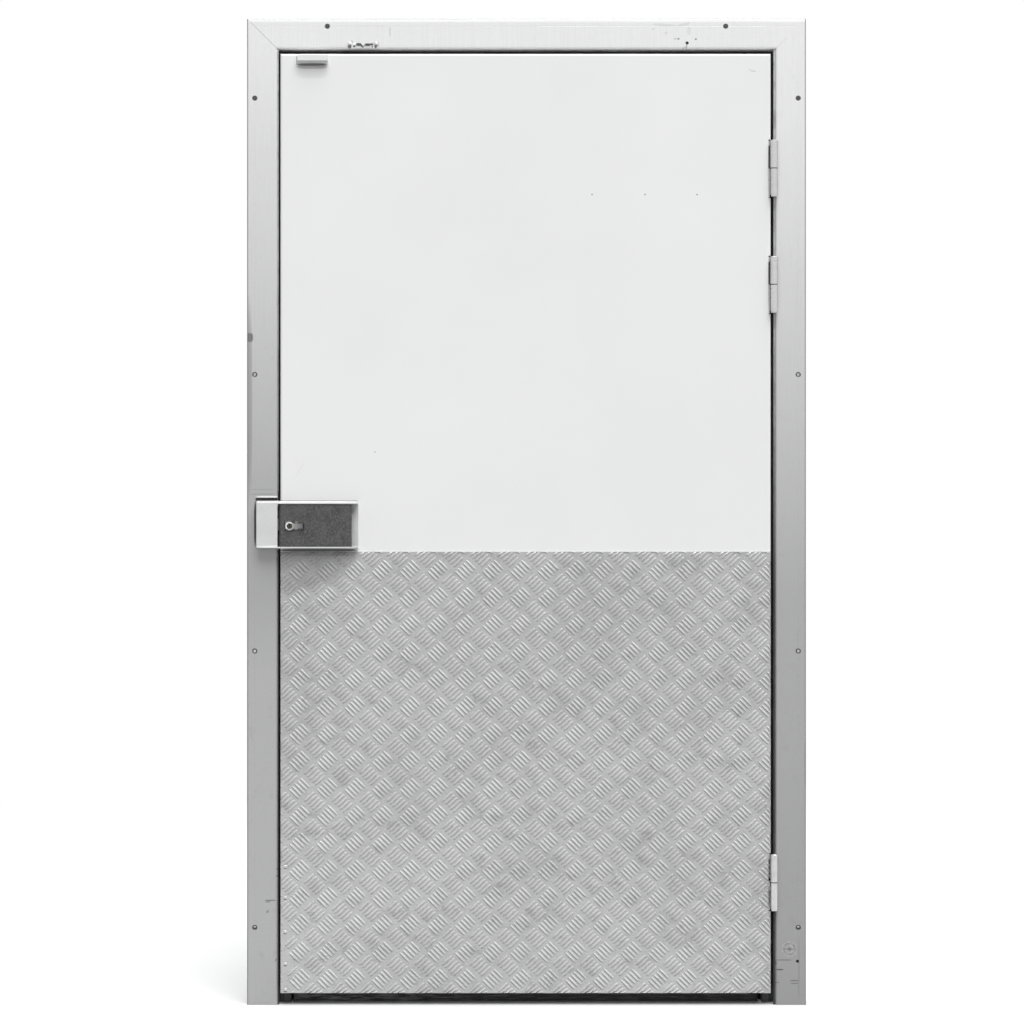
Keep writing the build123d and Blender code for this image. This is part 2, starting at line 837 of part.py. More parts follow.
# Kick plate and its screws, which pass on into the leaf
kick_face = leaf_front - kick_plate_thickness
kick_screw_planes = [facing_spot(leaf_left + kick_screw_inset, z, kick_face) for z in kick_screw_heights]
with BuildPart() as kick_plate_screws:
    add(countersunk_screws(kick_screw_planes, leaf_screw_length))
kick_plate_screws.part.label = "kick_plate_screws"
export_step(kick_plate_screws.part, "parts/kick_plate_screws.step")

with BuildPart() as kick_plate:
    add(
        block(
            leaf_left + kick_plate_margin,
            leaf_right - kick_plate_margin,
            kick_face,
            leaf_front,
            leaf_bottom + kick_plate_margin,
            leaf_bottom + kick_plate_margin + kick_plate_height,
        )
    )
    for pocket in hinge_pockets:
        add(pocket, mode=Mode.SUBTRACT)
    add(kick_plate_screws.part, mode=Mode.SUBTRACT)
kick_plate.part.label = "kick_plate"
export_step(kick_plate.part, "parts/kick_plate.step")

# Inner release: a guide through the leaf, a rod that pushes the paddle from behind, its mushroom
# knob and the spring that holds the knob out
release_spot = facing_spot(release_x, release_z, 0)
with BuildPart() as release_bore:
    with BuildSketch(release_spot.offset(-leaf_back)):
        Circle(guide_tube_radius)
    extrude(amount=leaf_thickness)

spring_seat = leaf_back + guide_flange_thickness - spring_bore_depth

with BuildPart() as release_guide:
    with BuildSketch(release_spot.offset(-leaf_back)):
        Circle(guide_tube_radius)
    extrude(amount=leaf_thickness)
    with BuildSketch(release_spot.offset(-leaf_back - guide_flange_thickness)):
        Circle(guide_flange_radius)
    extrude(amount=guide_flange_thickness)
    fillet(release_guide.faces().sort_by(Axis.Y)[-1].edges(), guide_flange_edge)
    with BuildSketch(release_spot.offset(-spring_seat)):
        Circle(release_rod_radius + pin_clearance)
    extrude(amount=leaf_thickness, mode=Mode.SUBTRACT)
    with BuildSketch(release_spot.offset(-leaf_back - guide_flange_thickness)):
        Circle(spring_bore_radius)
    extrude(amount=spring_bore_depth, mode=Mode.SUBTRACT)
release_guide.part.label = "release_guide"
export_step(release_guide.part, "parts/release_guide.step")

rod_tip = paddle_back + release_tip_gap
rod_end = knob_back + knob_grip
with BuildPart() as release_rod:
    with BuildSketch(release_spot.offset(-rod_end)):
        Circle(release_rod_radius)
    extrude(amount=rod_end - rod_tip - release_rod_radius)
    with Locations(release_spot.offset(-rod_tip - release_rod_radius)):
        Sphere(release_rod_radius)
release_rod.part.label = "release_rod"
export_step(release_rod.part, "parts/release_rod.step")

with BuildPart() as release_knob:
    with BuildSketch(release_spot.offset(-knob_face)):
        Circle(knob_radius)
    extrude(amount=knob_thickness)
    fillet(release_knob.faces().sort_by(Axis.Y)[-1].edges(), knob_face_edge)
    fillet(release_knob.faces().sort_by(Axis.Y)[0].edges(), knob_back_edge)
    add(release_rod.part, mode=Mode.SUBTRACT)
release_knob.part.label = "release_knob"
export_step(release_knob.part, "parts/release_knob.step")

with BuildPart() as release_spring:
    spring_height = knob_back - spring_seat - 2 * spring_wire
    spring_start = (release_x, spring_seat + spring_wire, release_z)
    with BuildLine():
        coil = Helix(
            pitch=spring_height / spring_turns,
            height=spring_height,
            radius=spring_radius,
            center=spring_start,
            direction=(0, 1, 0),
        )
    with BuildSketch(Plane(origin=coil @ 0, z_dir=coil % 0)):
        Circle(spring_wire)
    sweep(path=coil, is_frenet=True)
release_spring.part.label = "release_spring"
export_step(release_spring.part, "parts/release_spring.step")

# Leaf shell: two steel pans held apart by plastic edge profiles, with foam between them
with BuildPart() as front_envelope:
    with BuildSketch(facing(shoulder_y)):
        with Locations((leaf_middle, leaf_middle_height)):
            Rectangle(leaf_width, leaf_height)
    extrude(amount=leaf_lip_depth)
    fillet(front_envelope.faces().sort_by(Axis.Y)[0].edges(), leaf_edge_radius)

plug_left = leaf_left + plug_inset
plug_right = leaf_right - plug_inset
plug_top = leaf_top - plug_inset
with BuildPart() as plug_envelope:
    add(block(plug_left, plug_right, shoulder_y, leaf_back, leaf_bottom, plug_top))
    fillet(plug_envelope.faces().sort_by(Axis.Y)[-1].edges(), back_edge_radius)

with BuildPart() as leaf_front_skin:
    add(front_envelope.part)
    offset(amount=-skin, openings=leaf_front_skin.faces().sort_by(Axis.Y)[-1])
    for pocket in hinge_pockets:
        add(pocket, mode=Mode.SUBTRACT)
    add(release_bore.part, mode=Mode.SUBTRACT)
    with BuildSketch(facing(leaf_front)):
        with Locations([(leaf_right - inset, leaf_top - leaf_hole_drop) for inset in leaf_hole_insets]):
            Circle(leaf_hole_radius)
    extrude(amount=-skin, mode=Mode.SUBTRACT)
    add(leaf_hardware_screws.part, mode=Mode.SUBTRACT)
    add(kick_plate_screws.part, mode=Mode.SUBTRACT)
leaf_front_skin.part.label = "leaf_front_skin"
export_step(leaf_front_skin.part, "parts/leaf_front_skin.step")

with BuildPart() as leaf_back_skin:
    add(plug_envelope.part)
    add(
        block(
            plug_left + skin,
            plug_right - skin,
            shoulder_y,
            leaf_back - skin,
            leaf_bottom + skin,
            plug_top - skin,
        ),
        mode=Mode.SUBTRACT,
    )
    split(bisect_by=Plane(origin=(0, back_skin_edge, 0), z_dir=(0, 1, 0)), keep=Keep.TOP)
    add(release_bore.part, mode=Mode.SUBTRACT)
leaf_back_skin.part.label = "leaf_back_skin"
export_step(leaf_back_skin.part, "parts/leaf_back_skin.step")

# Gasket: one welded strip on three sides, with a foot in the shoulder and a hollow bellows
gasket_hollow = gasket_depth - gasket_base - gasket_magnet_head
with BuildSketch() as gasket_section:
    with Locations((seal_inset, shoulder_y + gasket_depth / 2)):
        Rectangle(gasket_width, gasket_depth)
    fillet(gasket_section.vertices().group_by(Axis.Y)[-1], gasket_radius)
    with Locations((seal_inset, shoulder_y - gasket_foot_depth / 2)):
        Rectangle(gasket_foot_width, gasket_foot_depth)
    with Locations((seal_inset, shoulder_y + gasket_base + gasket_hollow / 2)):
        Rectangle(gasket_width - 2 * gasket_side_wall, gasket_hollow, mode=Mode.SUBTRACT)

with BuildPart() as door_gasket:
    gasket_box = (-half_width, half_width, leaf_bottom + gasket_end_gap, frame_height)
    for place in ("left", "right", "head"):
        add(mitred_member(gasket_section.sketch, place, *gasket_box))
door_gasket.part.label = "door_gasket"
export_step(door_gasket.part, "parts/door_gasket.step")

edge_leg_depth = leaf_lip_depth - skin - edge_leg_gap
with BuildSketch() as edge_section:
    edge_middle = (skin + plug_inset + edge_wall) / 2
    with Locations((edge_middle, shoulder_y - shoulder_wall / 2)):
        Rectangle(plug_inset + edge_wall - skin, shoulder_wall)
    with Locations((skin + edge_leg_width / 2, shoulder_y - edge_leg_depth / 2)):
        Rectangle(edge_leg_width, edge_leg_depth)
    with Locations((plug_inset + edge_wall / 2, (shoulder_y + back_skin_edge) / 2)):
        Rectangle(edge_wall, back_skin_edge - shoulder_y)

edge_profiles = []
for place in ("left", "right", "head"):
    with BuildPart() as edge_profile:
        add(mitred_member(edge_section.sketch, place, leaf_left, leaf_right, leaf_bottom, leaf_top))
        add(leaf_front_skin.part, mode=Mode.SUBTRACT)
        add(door_gasket.part, mode=Mode.SUBTRACT)
        for pocket in hinge_pockets:
            add(pocket, mode=Mode.SUBTRACT)
        add(leaf_hardware_screws.part, mode=Mode.SUBTRACT)
        add(kick_plate_screws.part, mode=Mode.SUBTRACT)
    edge_profile.part.label = f"leaf_edge_profile_{place}"
    export_step(edge_profile.part, f"parts/leaf_edge_profile_{place}.step")
    edge_profiles.append(edge_profile.part)

with BuildPart() as leaf_bottom_rail:
    rail_left = plug_left + edge_wall
    rail_right = plug_right - edge_wall
    add(block(rail_left, rail_right, shoulder_y, back_skin_edge, leaf_bottom, leaf_bottom + rail_height))
    add(
        block(
            rail_left,
            rail_right,
            shoulder_y + edge_wall,
            back_skin_edge - edge_wall,
            leaf_bottom + edge_wall,
            leaf_bottom + rail_height,
        ),
        mode=Mode.SUBTRACT,
    )
leaf_bottom_rail.part.label = "leaf_bottom_rail"
export_step(leaf_bottom_rail.part, "parts/leaf_bottom_rail.step")

with BuildPart() as leaf_core:
    add(front_envelope.part)
    add(plug_envelope.part)
    for piece in (leaf_front_skin, leaf_back_skin, leaf_bottom_rail, release_bore, door_gasket):
        add(piece.part, mode=Mode.SUBTRACT)
    for piece in edge_profiles + hinge_pockets:
        add(piece, mode=Mode.SUBTRACT)
    for piece in (leaf_hardware_screws, kick_plate_screws):
        add(piece.part, mode=Mode.SUBTRACT)
leaf_core.part.label = "leaf_core"
export_step(leaf_core.part, "parts/leaf_core.step")

# Floor sweep: two rubber blades on a common head, clamped by a flat bar
sweep_left = plug_left - sweep_end_reach
sweep_right = plug_right + sweep_end_reach
sweep_back = sweep_front + sweep_depth
with BuildPart() as sweep_rubber:
    add(block(sweep_left, sweep_right, sweep_front, sweep_back, leaf_bottom - sweep_head, leaf_bottom))
    for blade_front in (sweep_front, sweep_back - sweep_blade):
        add(
            block(
                sweep_left,
                sweep_right,
                blade_front,
                blade_front + sweep_blade,
                floor_clearance,
                leaf_bottom - sweep_head,
            )
        )
sweep_rubber.part.label = "sweep_rubber"
export_step(sweep_rubber.part, "parts/sweep_rubber.step")

with BuildPart() as sweep_bar:
    sweep_middle = (sweep_front + sweep_back) / 2
    add(
        block(
            plug_left + sweep_bar_end_gap,
            plug_right - sweep_bar_end_gap,
            sweep_middle - sweep_bar_width / 2,
            sweep_middle + sweep_bar_width / 2,
            leaf_bottom - sweep_head - sweep_bar_thickness,
            leaf_bottom - sweep_head,
        )
    )
sweep_bar.part.label = "sweep_bar"
export_step(sweep_bar.part, "parts/sweep_bar.step")

# Magnet box of the door contact
magnet_x = leaf_left + magnet_left
magnet_top = leaf_top - magnet_drop
with BuildPart() as contact_magnet:
    add(
        block(
            magnet_x,
            magnet_x + magnet_length,
            leaf_front - magnet_depth,
            leaf_front,
            magnet_top - magnet_height,
            magnet_top,
        )
    )
    fillet(contact_magnet.faces().sort_by(Axis.Y)[0].edges(), magnet_edge_radius)
contact_magnet.part.label = "contact_magnet"
export_step(contact_magnet.part, "parts/contact_magnet.step")

# Lock: the back plate carries the cylinder's post and the bolt's guide
recess_bottom = lock_bottom + housing_wall
recess_top = lock_top - rim_top
with BuildPart() as lock_back_plate:
    add(block(back_plate_left, back_plate_right, back_plate_front, leaf_front, recess_bottom, recess_top))
    add(
        block(
            post_left,
            post_left + post_width,
            cylinder_back,
            back_plate_front,
            cylinder_z - cylinder_tail_width / 2,
            cylinder_z + cylinder_tail_width / 2,
        )
    )
    with BuildSketch(facing(leaf_front)):
        with Locations((release_x, release_z)):
            Circle(release_rod_radius + release_rod_hole_gap)
    extrude(amount=back_plate_thickness, mode=Mode.SUBTRACT)
    add(leaf_hardware_screws.part, mode=Mode.SUBTRACT)
lock_back_plate.part.label = "lock_back_plate"
export_step(lock_back_plate.part, "parts/lock_back_plate.step")

with BuildPart() as paddle_pin:
    with BuildSketch(level(lock_bottom + paddle_pin_inset)):
        with Locations((pivot_x, pivot_y)):
            Circle(paddle_pin_radius)
    extrude(amount=lock_height - 2 * paddle_pin_inset)
paddle_pin.part.label = "paddle_pin"
export_step(paddle_pin.part, "parts/paddle_pin.step")

# Housing: a shell open at the back, with the nose over the jamb, a window for the paddle and a
# floor at its open end that rises in a hollow curve for the fingers
scoop_start = lock_right - scoop_length
with BuildPart() as lock_housing:
    add(block(lock_left, lock_right, lock_front, leaf_front, lock_bottom, lock_top))
    front_edges = lock_housing.faces().sort_by(Axis.Y)[0].edges()
    fillet(front_edges.sort_by(Axis.Z)[-1], rim_top_radius)
    front_edges = lock_housing.edges().filter_by(Axis.X).group_by(Axis.Y)[0]
    fillet(front_edges.sort_by(Axis.Z)[0], rim_bottom_radius)
    end_edges = lock_housing.faces().sort_by(Axis.X)[0].edges().filter_by(Axis.Y, reverse=True)
    fillet(end_edges.filter_by_position(Axis.Y, lock_front, leaf_front - housing_wall), nose_end_radius)
    add(
        block(
            lock_left + housing_wall,
            scoop_start,
            lock_front + housing_wall,
            leaf_front,
            recess_bottom,
            recess_top,
        ),
        mode=Mode.SUBTRACT,
    )
    with BuildSketch(level(recess_bottom)):
        with BuildLine():
            Line((scoop_start, leaf_front), (scoop_start, leaf_front - scoop_depth_inner))
            TangentArc(
                (scoop_start, leaf_front - scoop_depth_inner),
                (lock_right, leaf_front - scoop_depth_outer),
                tangent=(1, 0),
            )
            Line((lock_right, leaf_front - scoop_depth_outer), (lock_right, lock_front))
            Line((lock_right, lock_front), (nose_right, lock_front))
            Line((nose_right, lock_front), (nose_right, leaf_front))
            Line((nose_right, leaf_front), (scoop_start, leaf_front))
        make_face()
    extrude(amount=recess_top - recess_bottom, mode=Mode.SUBTRACT)
    add(paddle_pin.part, mode=Mode.SUBTRACT)
lock_housing.part.label = "lock_housing"
export_step(lock_housing.part, "parts/lock_housing.step")

# Paddle: a plate on a hinge barrel, cut away in the middle for the bolt and the cylinder, with
# two heels that press on the keeper plate when the paddle is pulled
waist_bottom = lock_middle_height - paddle_waist / 2
waist_top = lock_middle_height + paddle_waist / 2
window_left = cylinder_x - cylinder_radius - window_left_gap
window_right = cylinder_x + cylinder_tail_reach + window_right_gap
window_bottom = cylinder_z - cylinder_radius - window_gap
window_top = cylinder_z + cylinder_radius + window_gap
heel_inner = paddle_waist / 2 + heel_waist_gap
heel_outer = paddle_top - lock_middle_height - heel_end_gap
with BuildPart() as paddle:
    with BuildSketch(level(paddle_bottom)):
        with Locations((pivot_x, pivot_y)):
            Circle(paddle_knuckle_radius)
        with Locations(((pivot_x + paddle_right) / 2, (paddle_front + paddle_back) / 2)):
            Rectangle(paddle_right - pivot_x, paddle_wall)
    extrude(amount=paddle_top - paddle_bottom)
    for rib_z in (paddle_bottom, paddle_top - paddle_rib):
        add(
            block(
                pivot_x,
                paddle_right - paddle_rib_end_gap,
                paddle_back,
                paddle_back + paddle_rib_depth,
                rib_z,
                rib_z + paddle_rib,
            )
        )
    free_edges = paddle.edges().filter_by(Axis.Z).group_by(Axis.X)[-1]
    fillet(free_edges, paddle_edge_radius)
    for heel_low in (lock_middle_height - heel_outer, lock_middle_height + heel_inner):
        with BuildSketch(level(heel_low)):
            with BuildLine():
                Polyline(
                    (pivot_x, pivot_y - heel_root_half),
                    (pivot_x - heel_reach, pivot_y + heel_set_back - heel_tip_radius),
                    (pivot_x - heel_reach, pivot_y + heel_set_back + heel_tip_radius),
                    (pivot_x, pivot_y + heel_root_half),
                    close=True,
                )
            make_face()
            with Locations((pivot_x - heel_reach, pivot_y + heel_set_back)):
                Circle(heel_tip_radius)
        extrude(amount=heel_outer - heel_inner)
    add(
        block(
            pivot_x - 2 * paddle_knuckle_radius,
            pivot_x + 2 * paddle_knuckle_radius,
            paddle_back,
            paddle_back + 3 * paddle_knuckle_radius,
            waist_bottom,
            waist_top,
        ),
        mode=Mode.SUBTRACT,
    )
    with BuildSketch(facing(paddle_back)):
        with BuildLine():
            FilletPolyline(
                (window_left, window_bottom),
                (window_right, window_bottom),
                (window_right, window_top),
                (window_left, window_top),
                radius=window_radius,
                close=True,
            )
        make_face()
    extrude(amount=paddle_wall, mode=Mode.SUBTRACT)
    with BuildSketch(level(paddle_bottom)):
        with Locations((pivot_x, pivot_y)):
            Circle(paddle_pin_radius + pin_clearance)
    extrude(amount=paddle_top - paddle_bottom, mode=Mode.SUBTRACT)
paddle.part.label = "paddle"
export_step(paddle.part, "parts/paddle.step")

# Cylinder: a round barrel with a flat tail, the turning plug and the cam behind it
cylinder_spot = facing_spot(cylinder_x, cylinder_z, 0)
with BuildPart() as cylinder_body:
    tail_centre = cylinder_tail_reach - cylinder_tail_width / 2
    with BuildSketch(cylinder_spot.offset(-cylinder_back)):
        Circle(cylinder_radius)
        with Locations((tail_centre / 2, 0)):
            Rectangle(tail_centre, cylinder_tail_width)
        with Locations((tail_centre, 0)):
            Circle(cylinder_tail_width / 2)
        Circle(plug_radius + pin_clearance, mode=Mode.SUBTRACT)
    extrude(amount=cylinder_length)
cylinder_body.part.label = "cylinder_body"
export_step(cylinder_body.part, "parts/cylinder_body.step")

cam_front = cylinder_back + pin_clearance
with BuildPart() as key_plug:
    with BuildSketch(cylinder_spot.offset(-cam_front)):
        Circle(plug_radius)
    extrude(amount=cylinder_length - plug_recess)
    with BuildSketch(cylinder_spot.offset(-cylinder_front - plug_recess - pin_clearance)):
        Rectangle(key_slot_width, key_slot_height)
    extrude(amount=-key_slot_depth, mode=Mode.SUBTRACT)
key_plug.part.label = "key_plug"
export_step(key_plug.part, "parts/key_plug.step")

drive_offset = drive_radius / math.sqrt(2)
with BuildPart() as key_cam:
    with BuildSketch(cylinder_spot.offset(-cam_back)):
        Circle(cam_radius)
        with Locations((drive_offset, drive_offset)):
            Circle(cam_tail_radius)
        with Locations(Location((drive_offset / 2, drive_offset / 2), 45)):
            Rectangle(drive_radius, 2 * cam_tail_radius)
    extrude(amount=cam_back - cam_front)
    with BuildSketch(cylinder_spot.offset(-bolt_back)):
        with Locations((drive_offset, drive_offset)):
            Circle(drive_pin_radius)
    extrude(amount=bolt_back - cam_back)
key_cam.part.label = "key_cam"
export_step(key_cam.part, "parts/key_cam.step")

# Bolt: a bar that slides in its guide, with a thin tail that the cam's pin drives
bolt_right = bolt_tip + bolt_head_length
slot_half_width = drive_pin_radius + drive_slot_clearance
slot_low = cylinder_z + drive_offset - slot_half_width
slot_high = cylinder_z + drive_radius + slot_half_width
bolt_low = lock_middle_height - bolt_height / 2
bolt_high = lock_middle_height + bolt_height / 2
with BuildPart() as lock_bolt:
    add(block(bolt_tip, bolt_right, bolt_front, bolt_back, bolt_low, bolt_high))
    chamfer(lock_bolt.faces().sort_by(Axis.X)[0].edges().filter_by(Axis.Z), bolt_chamfer)
    add(block(bolt_right, bolt_right + bolt_tail_length, bolt_tail_front, bolt_back, bolt_low, bolt_high))
    add(
        block(
            cylinder_x + drive_offset - slot_half_width,
            cylinder_x + drive_offset + slot_half_width,
            bolt_tail_front,
            bolt_back,
            slot_low,
            slot_high,
        ),
        mode=Mode.SUBTRACT,
    )
lock_bolt.part.label = "lock_bolt"
export_step(lock_bolt.part, "parts/lock_bolt.step")

guide_left = leaf_left - guide_overhang
with BuildPart() as bolt_guide:
    add(
        block(
            guide_left,
            guide_left + guide_length,
            guide_front,
            back_plate_front,
            bolt_low - bolt_gap - guide_wall,
            bolt_high + bolt_gap + guide_wall,
        )
    )
    add(
        block(
            guide_left,
            guide_left + guide_length,
            bolt_front - bolt_gap,
            bolt_back + bolt_gap,
            bolt_low - bolt_gap,
            bolt_high + bolt_gap,
        ),
        mode=Mode.SUBTRACT,
    )
bolt_guide.part.label = "bolt_guide"
export_step(bolt_guide.part, "parts/bolt_guide.step")
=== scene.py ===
"""Looks of the cold room door and its frame: finishes, screw heads, tread bars, wear and the studio."""

import itertools
import math
import random

import bmesh
import bpy
from mathutils import Matrix, Vector


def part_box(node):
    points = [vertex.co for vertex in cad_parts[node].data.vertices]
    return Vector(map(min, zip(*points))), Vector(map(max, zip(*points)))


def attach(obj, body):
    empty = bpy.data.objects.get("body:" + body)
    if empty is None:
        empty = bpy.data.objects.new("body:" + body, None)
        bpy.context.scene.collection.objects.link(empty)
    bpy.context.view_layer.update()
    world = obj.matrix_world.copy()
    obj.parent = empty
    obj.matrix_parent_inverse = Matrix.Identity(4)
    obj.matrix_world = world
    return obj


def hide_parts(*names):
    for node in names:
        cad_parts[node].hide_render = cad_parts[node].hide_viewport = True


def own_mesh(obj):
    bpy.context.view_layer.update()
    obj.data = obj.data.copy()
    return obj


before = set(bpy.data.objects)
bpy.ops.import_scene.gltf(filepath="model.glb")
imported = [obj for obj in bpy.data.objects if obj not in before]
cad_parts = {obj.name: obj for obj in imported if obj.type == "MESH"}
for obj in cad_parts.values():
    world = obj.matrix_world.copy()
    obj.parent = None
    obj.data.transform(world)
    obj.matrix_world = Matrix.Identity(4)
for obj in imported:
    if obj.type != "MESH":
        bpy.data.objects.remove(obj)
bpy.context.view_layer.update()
MM = 0.001

# The photograph: a level camera about six metres in front of the frame's face
PICTURE = 1024
MM_PER_PIXEL = 2.1288
PIXEL_OF_X_ZERO = 526.5
PIXEL_OF_FLOOR = 1005
CAMERA_DISTANCE = 6.0
SENSOR = 36.0

# Raised bars of the tread plate, with their ends and section as shares of the length, width and height
BAR_LENGTH = 31 * MM
BAR_WIDTH = 6.2 * MM
BAR_HEIGHT = 1.1 * MM
BAR_PITCH = 8.2 * MM
BAR_ENDS = ((0.5, 0.0, 0.0), (0.44, 0.5, 0.5), (0.3, 0.86, 0.9))
BAR_SECTION = ((-0.5, -0.15), (-0.36, 0.42), (-0.13, 0.94), (0.13, 0.94), (0.36, 0.42), (0.5, -0.15))
BAR_SINK = -0.15
BAR_OVERHANG = 0.3
BARS_PER_GROUP = 5
GROUP_PERIOD_X = 58.75 * MM
GROUP_PERIOD_Z = 58.0 * MM
GROUP_START_X = -482.6 * MM
GROUP_START_Z = 867.1 * MM
GROUP_SHIFT_X = 0.54
GROUP_SHIFT_Z = 0.5
SPARE_GROUPS = 3
SCREW_CLEARANCE = 14 * MM
PLATE_INSET = 0.2 * MM

# Fixing screws in the frame's face: across, first height, spacing, and the pair in the head
FIXING_X = 578.5 * MM
FIXING_FIRST_Z = 165 * MM
FIXING_PITCH = 588.5 * MM
HEAD_FIXING_X = 424 * MM
HEAD_FIXING_Z = 2083.5 * MM
FIXING_RECESS = 5.2 * MM
GROOVE_INSET = 16.5 * MM

# Frame outline, the front of the tread plate, and how far back the marks on the front reach
HALF_FRAME = 595 * MM
FRAME_TOP = 2100 * MM
FRAME_FACE = 65 * MM
PLATE_FRONT = -48.5 * MM
MARKS_REACH = -30 * MM

# Where bands and lines of the finishes start and end to fade
GROOVE_FADE = (0.6 * MM, 1.0 * MM)
# Painted shade along the frame's outer edge
EDGE_SHADE_FADE = (1.4 * MM, 3.4 * MM)
# Painted highlight along the frame's top and painted light on the reveal walls
TOP_HIGHLIGHT_BAND = (FRAME_TOP - 9 * MM, FRAME_TOP - 5 * MM)
REVEAL_LIGHT_BAND = (-43 * MM, -39 * MM)
MITRE_FADE = (0.4 * MM, 1.7 * MM)
MITRE_START = 35 * MM
MITRE_RUN = 10 * MM
# Painted shade with dirt round each fixing screw, and a painted glint on the middle of each head
FIXING_SHADE_AND_DIRT = (FIXING_RECESS, FIXING_RECESS * 1.18)
FIXING_GLINT = (1.6 * MM, 3.6 * MM)
FIXING_SOOT = (1.45, 1.75)
FIXING_DARK = (FIXING_FIRST_Z + 0.8 * MM, FIXING_FIRST_Z - 0.6 * MM)
# Painted shade where the foam's cut edge shows
FOAM_SHADE_X = (505 * MM, 508 * MM)
FOAM_SHADE_Y = (-40 * MM, -43 * MM)

# The lock cylinder's grey levels across it, its axis and the painted highlight on the rim round its plug
CYLINDER_TONES = ((-0.508, 0.42), (-0.494, 0.30), (-0.474, 0.12))
CYLINDER_X = -502 * MM
CYLINDER_Z = 1019.7 * MM
RIM_RADIUS = 7.3 * MM
RIM_LINE = 1.6 * MM
RIM_LIT = 6 * MM

# Rubber pads at the floor, pale beads in the reveals that stand in for light on the reveal walls, and dark
# dowels in the empty holes that stand in for the shade inside them
PAD_FRONT = 33 * MM
PAD_BACK = 39.5 * MM
PAD_HEIGHT = 24.5 * MM
PAD_LAP = 10 * MM
BEAD_FRONT = -41 * MM
BEAD_BACK = -30 * MM
BEAD_LEFT = 1.8 * MM
BEAD_RIGHT = 3.8 * MM
LOCK_GAP_LOW = 960 * MM
LOCK_GAP_HIGH = 1090 * MM
SPARE_HOLES = ((577 * MM, 93 * MM), (342 * MM, 2048 * MM))
PLUG_RADIUS = 3.45 * MM
PLUG_FRONT = -42.6 * MM
PLUG_BACK = -41 * MM
PLUG_SIDES = 24

# Studio
SOFT_LIGHT = 0.28
FLOOR_SHOWN = 0.70
FLOOR_BOUNCE = 0.30
FLOOR_NEAR = 1.6
FLOOR_FAR = 4.5
FLOOR_REACH = 60
SUNS = (("key", (0.15, -0.46, 0.875), 3.9, 50), ("back", (-0.25, 0.65, 0.72), 1.7, 40))
SUN_DISTANCE = 4

# Screw heads: the dome with its sink and roundness as shares, its mesh, and the cross recess
HEAD_RADIUS = 4.0 * MM
HEAD_DOME = 0.9 * MM
HEAD_SINK = 0.17
HEAD_ROUND = 0.97
HEAD_RINGS = 7
HEAD_AROUND = 32
CROSS_LENGTH = 4.6 * MM
CROSS_WIDTH = 1.1 * MM
CROSS_DEPTH = 1.6 * MM
CROSS_LIFT = 0.2 * MM
SHANK_DEPTH = 1.2 * CROSS_DEPTH


def grey(level):
    return (level, level * 1.002, level * 1.004)


